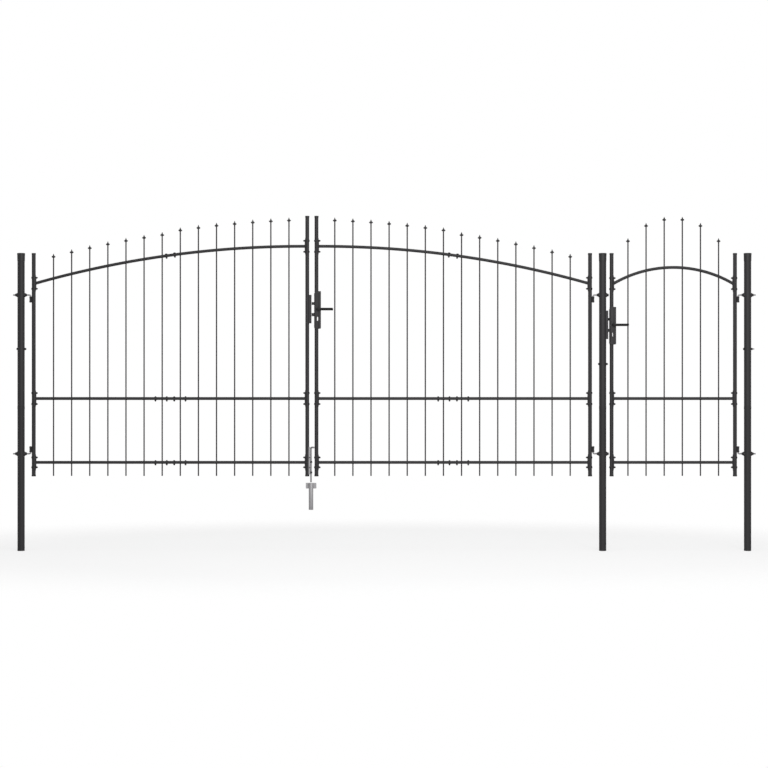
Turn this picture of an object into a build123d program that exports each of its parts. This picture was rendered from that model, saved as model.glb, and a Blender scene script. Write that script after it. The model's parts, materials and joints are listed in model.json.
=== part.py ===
from build123d import *
import os
from math import acos, asin, cos, degrees, radians, sin, sqrt

# Tubular steel driveway gate: two arched leaves and a walk gate on three posts, in millimetres.
# X runs along the gate, Y is its depth, Z is up. The middle post stands on the origin.

# Posts
double_opening = 3908.0
walk_opening = 974.0
post_diameter = 48.0
post_wall = 1.5
post_length = 2000.0
post_seam_height = 970.0
post_bell_height = 16.0
post_bell_step = 0.7
post_foot_thickness = 3.0
post_cap_crown = 3.0
post_cap_height = 53.0
post_cap_rim_height = 12.0
post_cap_rim_wall = 2.2
post_cap_lip_wall = 1.1

# Hook hinges
hook_diameter = 10.0
hook_projection = 40.0
hook_bend_radius = 9.5
outer_hook_tail = 30.0
middle_hook_tail = 18.0
upper_hook_drop = 281.5
lower_hook_rise = 152.0
barrel_diameter = 18.0
barrel_waist_diameter = 15.0
barrel_length = 39.0
barrel_end_gap = 0.6
barrel_weld_sink = 1.0
pin_proud = 2.0
washer_diameter = 29.0
washer_nose_diameter = 21.0
washer_length = 8.0
washer_saddle_depth = 5.0
nut_flats = 17.0
nut_height = 7.0

# Leaf frames
leaf_bottom = 500.0
meeting_stile_rise = 250.0
meeting_clearance = 36.0
walk_lock_clearance = 23.0
stile_diameter = 26.0
stile_wall = 1.5
stile_cap_height = 11.0
stile_cap_crown = 2.5
stile_cap_wall = 1.0

# Rails and brackets
rail_diameter = 20.0
low_rail_rise = 94.0
middle_rail_drop = 977.0
arch_apex_rise = 46.0
arch_apex_inset = 31.0
arch_fall = 252.2
walk_arch_drop = 96.0
walk_arch_fall = 116.3
bracket_height = 112.0
bracket_thickness = 4.4
bracket_lip = 0.8
bracket_taper = 25.0
bracket_wrap_share = 0.25

# Pickets and spear points
picket_diameter = 8.2
picket_foot_gap = 3.0
half_panel_pickets = 7
walk_pickets = 6
hinge_margin = 133.0
meeting_margin = 123.0
walk_margin = 110.0
hinge_tip_rise = 160.0
outer_splice_tip_rise = 150.0
inner_splice_tip_rise = 168.0
meeting_tip_rise = 185.0
walk_tip_rise = 338.0
walk_tip_fall = 150.0
spear_length = 31.0
spear_width = 25.6
spear_thickness = 9.4
spear_tip_thickness = 1.6
spear_ear_share = 0.62
spear_blade_shares = (0.34, 0.36)
spear_skirt_shares = (0.52, 0.76)

# Locks
double_lever_drop = 376.0
walk_lever_drop = 482.0
lock_case_width = 42.0
lock_case_depth = 36.0
lock_case_above = 120.0
lock_case_below = 132.0
lock_case_corner = 7.0
lock_case_edge = 6.0
lock_body_width = 28.8
lock_flange_depth = 24.0
lock_flange_edge = 3.0
lock_back_wall = 5.0
forend_proud = 2.4
forend_thickness = 3.0
forend_width = 22.0
forend_top_inset = 13.0
forend_bottom_inset = 6.0
forend_corner = 4.0
latch_rise = 37.5
latch_height = 18.5
latch_length = 30.0
latch_bevel = 7.0
deadbolt_drop = 37.0
deadbolt_height = 21.5
deadbolt_length = 34.0
tongue_width = 12.0
keyhole_drop = 65.5
keyhole_width = 10.5
keyhole_height = 29.0
spindle_inset = 7.2
spindle_square = 8.0
spindle_hole_diameter = 13.0
lever_length = 103.0
lever_stand_off = 26.0
lever_height = 14.0
lever_thickness = 11.0
lever_edge = 3.0
lever_bend_radius = 13.0
rose_diameter = 20.0
rose_thickness = 3.0
rose_gap = 0.4

# Keeps
keep_half_height = 95.5
keep_width = 24.0
double_keep_thickness = 15.0
walk_keep_thickness = 12.0
keep_corner = 2.0
keep_seat_share = 0.75
pocket_floor = 2.5
pocket_clearance = 2.5

# Drop bolt and its ground socket
drop_bolt_stand_off = 6.5
drop_bolt_diameter = 11.5
drop_bolt_top_rise = 195.0
drop_bolt_tip_gap = 5.0
drop_bolt_point = 2.0
drop_handle_length = 34.0
drop_handle_bend = 11.0
drop_handle_turn = -50.0
drop_plate_width = 20.0
drop_plate_thickness = 5.6
drop_plate_foot_gap = 2.0
drop_plate_height = 185.0
drop_plate_seat_share = 0.75
lower_eye_rise = 26.0
upper_eye_rise = 96.5
eye_height = 12.0
eye_diameter = 17.0
socket_drop = 44.5
socket_length = 180.0
socket_diameter = 30.0
socket_wall = 2.5
socket_plate_width = 71.0
socket_plate_height = 38.0
socket_plate_thickness = 4.0
socket_plate_corner = 3.0

# Fits
seat_clearance = 0.15
pin_clearance = 0.25
slide_clearance = 0.5
tongue_clearance = 2.0
overrun = 5.0

# Sides of the drawn bars
picket_sides = 8
rail_sides = 12

# Places worked out from the sizes above
post_radius = post_diameter / 2
stile_radius = stile_diameter / 2
hook_reach = post_radius + hook_projection
hinge_offset = stile_radius + barrel_diameter / 2 - barrel_weld_sink
post_to_stile = hook_reach + hinge_offset
meeting_gap = stile_diameter + meeting_clearance
walk_lock_gap = post_radius + walk_lock_clearance + stile_radius
leaf_width = (double_opening - meeting_gap) / 2 - post_to_stile
walk_leaf_width = walk_opening - walk_lock_gap - post_to_stile
left_post_x = -double_opening
middle_post_x = 0.0
right_post_x = walk_opening
double_centre_x = -double_opening / 2
left_hinge_stile_x = left_post_x + post_to_stile
left_meeting_stile_x = left_hinge_stile_x + leaf_width
left_splice_x = left_hinge_stile_x + leaf_width / 2
right_hinge_stile_x = middle_post_x - post_to_stile
right_meeting_stile_x = right_hinge_stile_x - leaf_width
walk_lock_stile_x = middle_post_x + walk_lock_gap
walk_hinge_stile_x = walk_lock_stile_x + walk_leaf_width
leaf_top = post_length
meeting_stile_top = leaf_top + meeting_stile_rise
upper_hook_z = post_length - upper_hook_drop
lower_hook_z = leaf_bottom + lower_hook_rise
low_rail_z = leaf_bottom + low_rail_rise
middle_rail_z = leaf_top - middle_rail_drop
double_lever_z = leaf_top - double_lever_drop
walk_lever_z = leaf_top - walk_lever_drop
arch_apex_x = left_meeting_stile_x - arch_apex_inset
arch_apex_z = leaf_top + arch_apex_rise
walk_arch_apex_x = walk_lock_stile_x + walk_leaf_width / 2
walk_arch_apex_z = leaf_top - walk_arch_drop
drop_plate_face_x = left_meeting_stile_x + stile_radius + drop_plate_thickness
drop_bolt_x = drop_plate_face_x + drop_bolt_stand_off
socket_top = leaf_bottom - socket_drop

os.makedirs("parts", exist_ok=True)


def save(builder, name):
    """Label a finished piece and write it to its own file."""
    builder.part.label = name
    export_step(builder.part, f"parts/{name}.step")


# Hook hinges: where each hook stands, which way it points and how far its tail sticks out

hook_runs = (
    (left_post_x, 1, post_radius + outer_hook_tail),
    (middle_post_x, -1, post_radius + middle_hook_tail),
    (right_post_x, -1, post_radius + outer_hook_tail),
)
hook_heights = ((upper_hook_z, -1), (lower_hook_z, 1))


def drill_hook_holes(post_x):
    """Drill a post for its two hooks."""
    for hook_z, _ in hook_heights:
        with BuildSketch(Plane((post_x, 0, hook_z), z_dir=(1, 0, 0))) as hook_hole:
            Circle(hook_diameter / 2 + pin_clearance)
        extrude(hook_hole.sketch, amount=post_diameter, both=True, mode=Mode.SUBTRACT)


# Posts: a lower tube with a closed foot and a belled mouth, and an upper tube that stands on it

post_places = {"left": left_post_x, "middle": middle_post_x, "right": right_post_x}

for side, post_x in post_places.items():
    with BuildPart() as lower_post:
        with BuildSketch():
            with Locations((post_x, 0)):
                Circle(post_radius)
        extrude(amount=post_seam_height)
        with BuildSketch(Plane.XY.offset(post_seam_height - post_bell_height)):
            with Locations((post_x, 0)):
                Circle(post_radius + post_bell_step)
        extrude(amount=post_bell_height)
        with BuildSketch(Plane.XY.offset(post_foot_thickness)):
            with Locations((post_x, 0)):
                Circle(post_radius - post_wall)
        extrude(amount=post_seam_height - post_foot_thickness, mode=Mode.SUBTRACT)
        drill_hook_holes(post_x)
    save(lower_post, f"{side}_post_lower")

    with BuildPart() as upper_post:
        with BuildSketch(Plane.XY.offset(post_seam_height)):
            with Locations((post_x, 0)):
                Circle(post_radius)
                Circle(post_radius - post_wall, mode=Mode.SUBTRACT)
        extrude(amount=post_length - post_cap_crown - post_seam_height)
        drill_hook_holes(post_x)
    save(upper_post, f"{side}_post_upper")

# Post caps: a crowned rim over a skirt that narrows to a thin lip

cap_bore = post_radius + seat_clearance
cap_rim = cap_bore + post_cap_rim_wall
cap_lip = cap_bore + post_cap_lip_wall

for side, post_x in post_places.items():
    with BuildPart() as post_cap:
        with BuildSketch(Plane.XZ):
            with BuildLine():
                Polyline(
                    (post_x, post_length),
                    (post_x + cap_rim - post_cap_crown, post_length),
                    (post_x + cap_rim, post_length - post_cap_crown),
                    (post_x + cap_rim, post_length - post_cap_rim_height),
                    (post_x + cap_lip, post_length - post_cap_height),
                    (post_x + cap_bore, post_length - post_cap_height),
                    (post_x + cap_bore, post_length - post_cap_crown),
                    (post_x, post_length - post_cap_crown),
                    close=True,
                )
            make_face()
        revolve(axis=Axis((post_x, 0, 0), (0, 0, 1)))
    save(post_cap, f"{side}_post_cap")

# Hooks: a bolt through the post whose end is bent into the pin of the barrel

with BuildPart() as hinge_hooks:
    pin_length = barrel_end_gap + barrel_length + pin_proud
    for post_x, toward, tail in hook_runs:
        for hook_z, upright in hook_heights:
            tail_x = post_x - toward * tail
            pin_x = post_x + toward * hook_reach
            pin_end_z = hook_z + upright * (hook_bend_radius + pin_length)
            with BuildLine() as hook_path:
                FilletPolyline(
                    (tail_x, 0, hook_z),
                    (pin_x, 0, hook_z),
                    (pin_x, 0, pin_end_z),
                    radius=hook_bend_radius,
                )
            with BuildSketch(Plane((tail_x, 0, hook_z), z_dir=(toward, 0, 0))):
                Circle(hook_diameter / 2)
            sweep(path=hook_path.line)
save(hinge_hooks, "hinge_hooks")

# Saddle washers and nuts that clamp each hook to its post

with BuildPart() as hook_nuts:
    washer_root = post_radius - washer_saddle_depth
    nut_seat = post_radius + washer_length
    for post_x, _, _ in hook_runs:
        for hook_z, _ in hook_heights:
            for side in (-1, 1):
                root = Plane((post_x + side * washer_root, 0, hook_z), z_dir=(side, 0, 0))
                nose = root.offset(nut_seat - washer_root)
                with BuildSketch(root):
                    Circle(washer_diameter / 2)
                with BuildSketch(nose):
                    Circle(washer_nose_diameter / 2)
                loft()
                with BuildSketch(nose):
                    RegularPolygon(nut_flats / 2, 6, major_radius=False)
                extrude(amount=nut_height)
            with BuildSketch(Plane((post_x, 0, hook_z), z_dir=(1, 0, 0))):
                Circle(hook_diameter / 2 + seat_clearance)
            extrude(amount=nut_seat + nut_height + overrun, both=True, mode=Mode.SUBTRACT)
        with BuildSketch():
            with Locations((post_x, 0)):
                Circle(post_radius + seat_clearance)
        extrude(amount=post_length, mode=Mode.SUBTRACT)
save(hook_nuts, "hook_nuts")

# Stiles: upright tubes between their end caps, the hinge ones with two barrels welded on


def stile_tube(stile_x, bottom, top):
    """One upright length of stile tube."""
    with BuildSketch(Plane.XY.offset(bottom)) as ring:
        with Locations((stile_x, 0)):
            Circle(stile_radius)
            Circle(stile_radius - stile_wall, mode=Mode.SUBTRACT)
    extrude(ring.sketch, amount=top - bottom)


def hinge_barrels(pin_x):
    """The two barrels that turn on a post's hooks, each with a slight waist."""
    outer_x = pin_x + barrel_diameter / 2
    waist_x = pin_x + barrel_waist_diameter / 2
    bore_x = pin_x + hook_diameter / 2 + pin_clearance
    shoulder = hook_bend_radius + barrel_end_gap
    barrel_bottoms = (upper_hook_z - shoulder - barrel_length, lower_hook_z + shoulder)
    for barrel_bottom in barrel_bottoms:
        barrel_top = barrel_bottom + barrel_length
        waist_z = barrel_bottom + barrel_length / 2
        with BuildSketch(Plane.XZ) as barrel:
            with BuildLine():
                Polyline(
                    (outer_x, barrel_bottom),
                    (bore_x, barrel_bottom),
                    (bore_x, barrel_top),
                    (outer_x, barrel_top),
                )
                ThreePointArc((outer_x, barrel_top), (waist_x, waist_z), (outer_x, barrel_bottom))
            make_face()
        revolve(barrel.sketch, axis=Axis((pin_x, 0, 0), (0, 0, 1)))


stile_foot = leaf_bottom + stile_cap_crown
hinge_stiles = {
    "left": (left_hinge_stile_x, -1),
    "right": (right_hinge_stile_x, 1),
    "walk": (walk_hinge_stile_x, 1),
}

for leaf, (stile_x, toward_post) in hinge_stiles.items():
    with BuildPart() as hinge_stile:
        stile_tube(stile_x, stile_foot, leaf_top - stile_cap_crown)
        hinge_barrels(stile_x + toward_post * hinge_offset)
    save(hinge_stile, f"{leaf}_hinge_stile")

with BuildPart() as left_meeting_stile:
    stile_tube(left_meeting_stile_x, stile_foot, meeting_stile_top - stile_cap_crown)
save(left_meeting_stile, "left_meeting_stile")

# The two lock stiles are cut where the lock case is welded in

with BuildPart() as right_meeting_stile:
    stile_tube(right_meeting_stile_x, stile_foot, double_lever_z - lock_case_below)
    stile_tube(right_meeting_stile_x, double_lever_z + lock_case_above, meeting_stile_top - stile_cap_crown)
save(right_meeting_stile, "right_meeting_stile")

with BuildPart() as walk_lock_stile:
    stile_tube(walk_lock_stile_x, stile_foot, walk_lever_z - lock_case_below)
    stile_tube(walk_lock_stile_x, walk_lever_z + lock_case_above, leaf_top - stile_cap_crown)
save(walk_lock_stile, "walk_lock_stile")

# Stile caps: a crowned cup pushed over each tube end

with BuildPart() as stile_cap:
    cup_bore = stile_radius + seat_clearance
    cup_rim = cup_bore + stile_cap_wall
    with BuildSketch(Plane.XZ):
        with BuildLine():
            Polyline(
                (0, 0),
                (cup_rim - stile_cap_crown / 2, 0),
                (cup_rim, -stile_cap_crown / 2),
                (cup_rim, -stile_cap_height),
                (cup_bore, -stile_cap_height),
                (cup_bore, -stile_cap_crown),
                (0, -stile_cap_crown),
                close=True,
            )
        make_face()
    revolve(axis=Axis.Z)

leaf_stiles = {
    "left": ((left_hinge_stile_x, leaf_top), (left_meeting_stile_x, meeting_stile_top)),
    "right": ((right_hinge_stile_x, leaf_top), (right_meeting_stile_x, meeting_stile_top)),
    "walk": ((walk_hinge_stile_x, leaf_top), (walk_lock_stile_x, leaf_top)),
}

for leaf, stiles in leaf_stiles.items():
    with BuildPart() as stile_caps:
        for stile_x, stile_top in stiles:
            with Locations((stile_x, 0, stile_top), Location((stile_x, 0, leaf_bottom), (180, 0, 0))):
                add(stile_cap.part)
    save(stile_caps, f"{leaf}_stile_caps")

# Spear point: a blade with hollow sides, two ears and a skirt that runs back into the bar, tip at the origin

with BuildPart() as spear:
    half_width = spear_width / 2
    ear_drop = spear_ear_share * spear_length
    bar_half = picket_diameter / 2
    blade_width_share, blade_drop_share = spear_blade_shares
    skirt_width_share, skirt_drop_share = spear_skirt_shares
    with BuildSketch(Plane.XZ):
        with BuildLine():
            for side in (-1, 1):
                ear = (side * half_width, -ear_drop)
                blade = (side * blade_width_share * half_width, -blade_drop_share * spear_length)
                skirt = (side * skirt_width_share * half_width, -skirt_drop_share * spear_length)
                root = (side * bar_half, -spear_length)
                ThreePointArc((0, 0), blade, ear)
                ThreePointArc(ear, skirt, root)
            Line((-bar_half, -spear_length), (bar_half, -spear_length))
        make_face()
    extrude(amount=spear_width, both=True)
    with BuildSketch(Plane.YZ):
        with BuildLine():
            Polyline(
                (-spear_tip_thickness / 2, 0),
                (spear_tip_thickness / 2, 0),
                (spear_thickness / 2, -ear_drop),
                (bar_half, -spear_length),
                (-bar_half, -spear_length),
                (-spear_thickness / 2, -ear_drop),
                close=True,
            )
        make_face()
    extrude(amount=spear_width, both=True, mode=Mode.INTERSECT)

# Saddle bracket: a curved plate, thinned towards its ends, that seats on the side of a stile

with BuildPart() as bracket:
    wrap = degrees(acos(bracket_wrap_share))
    bracket_seat = stile_radius + seat_clearance
    start_dir = (bracket_wrap_share, -sin(radians(wrap)), 0)
    start_normal = (-sin(radians(wrap)), -bracket_wrap_share, 0)
    with BuildSketch(Plane((0, 0, 0), x_dir=start_dir, z_dir=start_normal)):
        with BuildLine():
            Polyline(
                (bracket_seat, -bracket_height / 2),
                (bracket_seat + bracket_lip, -bracket_height / 2),
                (bracket_seat + bracket_thickness, bracket_taper - bracket_height / 2),
                (bracket_seat + bracket_thickness, bracket_height / 2 - bracket_taper),
                (bracket_seat + bracket_lip, bracket_height / 2),
                (bracket_seat, bracket_height / 2),
                close=True,
            )
        make_face()
    revolve(axis=Axis.Z, revolution_arc=2 * wrap)

# Panels: pickets through a low, a middle and an arched rail, with a bracket wherever a rail meets a stile


def arc_radius(half_chord, fall):
    """Radius of an arc that falls this much over half its chord."""
    return (half_chord**2 + fall**2) / (2 * fall)


def arch_height(x, apex_x, apex_z, radius):
    """Height of an arch's centre line at x."""
    return apex_z - radius + sqrt(radius**2 - (x - apex_x) ** 2)


def straight_rail(start_x, end_x, rail_z):
    """A level rail."""
    with BuildSketch(Plane((start_x, 0, rail_z), x_dir=(0, 1, 0), z_dir=(1, 0, 0))) as section:
        RegularPolygon(rail_diameter / 2, rail_sides, major_radius=False)
    extrude(section.sketch, amount=end_x - start_x)


def arched_rail(start_x, end_x, apex_x, apex_z, radius):
    """A rail bent to a round arch."""
    start = asin((start_x - apex_x) / radius)
    end = asin((end_x - apex_x) / radius)
    start_point = (start_x, 0, arch_height(start_x, apex_x, apex_z, radius))
    along = (cos(start), 0, -sin(start))
    with BuildSketch(Plane(start_point, x_dir=(0, 1, 0), z_dir=along)) as section:
        RegularPolygon(rail_diameter / 2, rail_sides, major_radius=False)
    arch_axis = Axis((apex_x, 0, apex_z - radius), (0, 1, 0))
    revolve(section.sketch, axis=arch_axis, revolution_arc=degrees(end - start))


def picket(picket_x, tip_z):
    """An upright bar with its spear point."""
    foot_z = leaf_bottom + picket_foot_gap
    with BuildSketch(Plane.XY.offset(foot_z)) as section:
        with Locations((picket_x, 0)):
            RegularPolygon(
                picket_diameter / 2, picket_sides, major_radius=False, rotation=180 / picket_sides
            )
    extrude(section.sketch, amount=tip_z - spear_length - foot_z)
    with Locations((picket_x, 0, tip_z)):
        add(spear.part)


def bracket_on(stile_x, facing, rail_z):
    """A saddle bracket on the side of a stile that faces its rail."""
    turn = 0 if facing > 0 else 180
    with Locations(Location((stile_x, 0, rail_z), (0, 0, turn))):
        add(bracket.part)


def panel(start_x, end_x, arch, pickets, stiles):
    """Rails from start_x to end_x, their pickets, and the brackets on the stiles that the rails meet."""
    straight_rail(start_x, end_x, low_rail_z)
    straight_rail(start_x, end_x, middle_rail_z)
    arched_rail(start_x, end_x, *arch)
    for picket_x, tip_z in pickets:
        picket(picket_x, tip_z)
    for stile_x, _ in stiles:
        with BuildSketch() as cope:
            with Locations((stile_x, 0)):
                Circle(stile_radius + seat_clearance)
        extrude(cope.sketch, amount=meeting_stile_top, mode=Mode.SUBTRACT)
    for stile_x, facing in stiles:
        arch_end = stile_x + facing * stile_radius
        for rail_z in (low_rail_z, middle_rail_z, arch_height(arch_end, *arch)):
            bracket_on(stile_x, facing, rail_z)


arch_radius = arc_radius(arch_apex_x - left_hinge_stile_x, arch_fall)
walk_arch_radius = arc_radius(walk_leaf_width / 2, walk_arch_fall)
double_arch = (arch_apex_x, arch_apex_z, arch_radius)
walk_arch = (walk_arch_apex_x, walk_arch_apex_z, walk_arch_radius)
picket_pitch = (leaf_width - hinge_margin - meeting_margin) / (2 * half_panel_pickets - 1)
walk_pitch = (walk_leaf_width - 2 * walk_margin) / (walk_pickets - 1)


def half_panel_pickets_from(first_x, first_rise, last_rise):
    """Places and tip heights of a half panel's pickets; the tips climb away from the arch evenly."""
    places = []
    for number in range(half_panel_pickets):
        picket_x = first_x + number * picket_pitch
        climb = (last_rise - first_rise) * number / (half_panel_pickets - 1)
        places.append((picket_x, arch_height(picket_x, *double_arch) + first_rise + climb))
    return places


first_outer_x = left_hinge_stile_x + hinge_margin
first_inner_x = first_outer_x + half_panel_pickets * picket_pitch
outer_pickets = half_panel_pickets_from(first_outer_x, hinge_tip_rise, outer_splice_tip_rise)
inner_pickets = half_panel_pickets_from(first_inner_x, inner_splice_tip_rise, meeting_tip_rise)

with BuildPart() as left_outer_panel:
    panel(left_hinge_stile_x, left_splice_x, double_arch, outer_pickets, [(left_hinge_stile_x, 1)])
save(left_outer_panel, "left_outer_panel")

with BuildPart() as left_inner_panel:
    panel(left_splice_x, left_meeting_stile_x, double_arch, inner_pickets, [(left_meeting_stile_x, -1)])
save(left_inner_panel, "left_inner_panel")

double_middle = Plane.YZ.offset(double_centre_x)

with BuildPart() as right_outer_panel:
    mirror(left_outer_panel.part, about=double_middle)
save(right_outer_panel, "right_outer_panel")

with BuildPart() as right_inner_panel:
    mirror(left_inner_panel.part, about=double_middle)
save(right_inner_panel, "right_inner_panel")

walk_tip_apex_z = walk_arch_apex_z + walk_tip_rise
walk_tip_radius = arc_radius(walk_leaf_width / 2 - walk_margin, walk_tip_fall)
walk_picket_places = []
for number in range(walk_pickets):
    picket_x = walk_lock_stile_x + walk_margin + number * walk_pitch
    tip_z = arch_height(picket_x, walk_arch_apex_x, walk_tip_apex_z, walk_tip_radius)
    walk_picket_places.append((picket_x, tip_z))

with BuildPart() as walk_panel:
    walk_stiles = [(walk_lock_stile_x, 1), (walk_hinge_stile_x, -1)]
    panel(walk_lock_stile_x, walk_hinge_stile_x, walk_arch, walk_picket_places, walk_stiles)
save(walk_panel, "walk_panel")

# Locks: the stile's axis is x = 0 and the lever's height is z = 0, the forend looks to -X

forend_projection = stile_radius + forend_proud
forend_above = lock_case_above - forend_top_inset
forend_below = lock_case_below - forend_bottom_inset
case_face_x = forend_thickness - forend_projection
channel_length = lock_case_width - lock_back_wall
tongue_places = ((latch_rise, latch_height), (-deadbolt_drop, deadbolt_height))


def tongue_slot(plane, clearance, depth):
    """Cut the passages of the latch and the deadbolt."""
    for tongue_z, tongue_height in tongue_places:
        with BuildSketch(plane) as passage:
            with Locations((0, tongue_z)):
                Rectangle(tongue_width + 2 * clearance, tongue_height + 2 * clearance)
        extrude(passage.sketch, amount=depth, mode=Mode.SUBTRACT)


# Lock case: a round-edged body with a thinner flange behind it whose lower corner is rounded

with BuildPart() as lock_case:
    with BuildSketch(Plane.XY.offset(-lock_case_below)):
        with Locations((case_face_x + lock_case_width / 2, 0)):
            RectangleRounded(lock_case_width, lock_flange_depth, lock_flange_edge)
        with Locations((case_face_x + lock_body_width / 2, 0)):
            RectangleRounded(lock_body_width, lock_case_depth, lock_case_edge)
    extrude(amount=lock_case_above + lock_case_below)
    with BuildSketch(Plane.XZ) as case_outline:
        with Locations((case_face_x, -lock_case_below)):
            Rectangle(lock_case_width, lock_case_above + lock_case_below, align=(Align.MIN, Align.MIN))
        lower_back_corner = case_outline.vertices().group_by(Axis.X)[-1].sort_by(Axis.Y)[0]
        fillet(lower_back_corner, radius=lock_case_corner)
    extrude(amount=lock_case_depth, both=True, mode=Mode.INTERSECT)
    with BuildSketch(Plane.XZ):
        with Locations((spindle_inset, -keyhole_drop)):
            SlotOverall(keyhole_height, keyhole_width, rotation=90)
        with Locations((spindle_inset, 0)):
            Circle(spindle_hole_diameter / 2)
    extrude(amount=lock_case_depth, both=True, mode=Mode.SUBTRACT)
    tongue_slot(Plane.YZ.offset(case_face_x), slide_clearance, channel_length)

with BuildPart() as forend:
    with BuildSketch(Plane.YZ.offset(-forend_projection)):
        with Locations((0, (forend_above - forend_below) / 2)):
            RectangleRounded(forend_width, forend_above + forend_below, forend_corner)
    extrude(amount=forend_thickness)
    tongue_slot(Plane.YZ.offset(-forend_projection), slide_clearance, forend_thickness)

with BuildPart() as lever:
    rose_y = lock_case_depth / 2 + rose_gap
    arm_y = lock_case_depth / 2 + lever_stand_off
    with BuildSketch(Plane((spindle_inset, -rose_y, 0), z_dir=(0, -1, 0))):
        Circle(rose_diameter / 2)
    extrude(amount=rose_thickness)
    with BuildLine() as arm_path:
        FilletPolyline(
            (spindle_inset, -rose_y, 0),
            (spindle_inset, -arm_y, 0),
            (spindle_inset + lever_length, -arm_y, 0),
            radius=lever_bend_radius,
        )
    with BuildSketch(Plane((spindle_inset, -rose_y, 0), x_dir=(1, 0, 0), z_dir=(0, -1, 0))):
        RectangleRounded(lever_thickness, lever_height, lever_edge)
    sweep(path=arm_path.line)
    mirror(about=Plane.XZ)
    with BuildSketch(Plane.XZ):
        with Locations((spindle_inset, 0)):
            Rectangle(spindle_square, spindle_square)
    extrude(amount=rose_y + rose_thickness, both=True)

with BuildPart() as latch:
    with BuildSketch(Plane.YZ):
        with Locations((0, latch_rise)):
            Rectangle(tongue_width, latch_height)
    extrude(amount=latch_length)
    closing_edge = latch.edges().filter_by(Axis.Z).group_by(Axis.X)[0].sort_by(Axis.Y)[0]
    chamfer(closing_edge, length=latch_bevel)

with BuildPart() as deadbolt:
    with BuildSketch(Plane.YZ):
        with Locations((0, -deadbolt_drop)):
            Rectangle(tongue_width, deadbolt_height)
    extrude(amount=deadbolt_length)

double_reach = meeting_gap - stile_radius - double_keep_thickness - tongue_clearance
walk_reach = walk_lock_gap - post_radius - walk_keep_thickness - tongue_clearance
lock_places = {
    "double": (right_meeting_stile_x, double_lever_z, double_reach),
    "walk": (walk_lock_stile_x, walk_lever_z, walk_reach),
}

for gate, (stile_x, lever_z, tongue_reach) in lock_places.items():
    lock_pieces = {"lock_case": lock_case, "lock_forend": forend, "lever": lever}
    for piece_name, piece in lock_pieces.items():
        with BuildPart() as lock_piece:
            with Locations((stile_x, 0, lever_z)):
                add(piece.part)
        save(lock_piece, f"{gate}_{piece_name}")
    tongues = {"latch": latch, "deadbolt": deadbolt}
    for piece_name, piece in tongues.items():
        with BuildPart() as tongue:
            with Locations((stile_x - tongue_reach, 0, lever_z)):
                add(piece.part)
        save(tongue, f"{gate}_{piece_name}")

# Keeps: a box with a pocket for each tongue, hollowed to sit on its tube


def keep(tube_x, tube_radius, thickness, lever_z):
    """The keep on the side of a tube that faces a lock."""
    seat_x = keep_seat_share * tube_radius
    face_x = tube_radius + thickness
    with BuildSketch(Plane((tube_x + seat_x, 0, lever_z), x_dir=(0, 1, 0), z_dir=(1, 0, 0))) as block:
        RectangleRounded(keep_width, 2 * keep_half_height, keep_corner)
    extrude(block.sketch, amount=face_x - seat_x)
    with BuildSketch(Plane.XY.offset(lever_z)) as saddle:
        with Locations((tube_x, 0)):
            Circle(tube_radius + seat_clearance)
    extrude(saddle.sketch, amount=2 * keep_half_height, both=True, mode=Mode.SUBTRACT)
    pocket_depth = thickness - pocket_floor
    pocket_plane = Plane((tube_x + face_x - pocket_depth, 0, lever_z), x_dir=(0, 1, 0), z_dir=(1, 0, 0))
    tongue_slot(pocket_plane, pocket_clearance, pocket_depth)


with BuildPart() as double_keep:
    keep(left_meeting_stile_x, stile_radius, double_keep_thickness, double_lever_z)
save(double_keep, "double_keep")

with BuildPart() as walk_keep:
    keep(middle_post_x, post_radius, walk_keep_thickness, walk_lever_z)
save(walk_keep, "walk_keep")

# Drop bolt: a rod in two eyes on a plate, with its top bent into a handle

drop_bolt_tip = socket_top + drop_bolt_tip_gap
drop_bolt_top = leaf_bottom + drop_bolt_top_rise

with BuildPart() as drop_bolt:
    handle_x = drop_bolt_x + drop_handle_length * cos(radians(drop_handle_turn))
    handle_y = drop_handle_length * sin(radians(drop_handle_turn))
    with BuildLine() as rod_path:
        FilletPolyline(
            (drop_bolt_x, 0, drop_bolt_tip),
            (drop_bolt_x, 0, drop_bolt_top),
            (handle_x, handle_y, drop_bolt_top),
            radius=drop_handle_bend,
        )
    with BuildSketch(Plane.XY.offset(drop_bolt_tip)):
        with Locations((drop_bolt_x, 0)):
            Circle(drop_bolt_diameter / 2)
    sweep(path=rod_path.line)
    chamfer(drop_bolt.edges().sort_by(Axis.Z)[0], length=drop_bolt_point)
save(drop_bolt, "drop_bolt")

with BuildPart() as drop_bolt_plate:
    seat_x = left_meeting_stile_x + drop_plate_seat_share * stile_radius
    with BuildSketch(Plane.XY.offset(leaf_bottom + stile_cap_height + drop_plate_foot_gap)):
        with Locations((seat_x, 0)):
            Rectangle(drop_plate_face_x - seat_x, drop_plate_width, align=(Align.MIN, Align.CENTER))
        with Locations((left_meeting_stile_x, 0)):
            Circle(stile_radius + seat_clearance, mode=Mode.SUBTRACT)
    extrude(amount=drop_plate_height)
save(drop_bolt_plate, "drop_bolt_plate")

with BuildPart() as drop_bolt_eyes:
    for eye_rise in (lower_eye_rise, upper_eye_rise):
        with BuildSketch(Plane.XY.offset(leaf_bottom + eye_rise - eye_height / 2)):
            with Locations((drop_bolt_x, 0)):
                Circle(eye_diameter / 2)
            with Locations((drop_plate_face_x, 0)):
                Rectangle(drop_bolt_stand_off, eye_diameter, align=(Align.MIN, Align.CENTER))
                Rectangle(
                    eye_diameter, 2 * eye_diameter, align=(Align.MAX, Align.CENTER), mode=Mode.SUBTRACT
                )
            with Locations((drop_bolt_x, 0)):
                Circle(drop_bolt_diameter / 2 + pin_clearance, mode=Mode.SUBTRACT)
        extrude(amount=eye_height)
save(drop_bolt_eyes, "drop_bolt_eyes")

# Ground socket: a tube for the drop bolt with a cross plate welded behind its mouth

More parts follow.
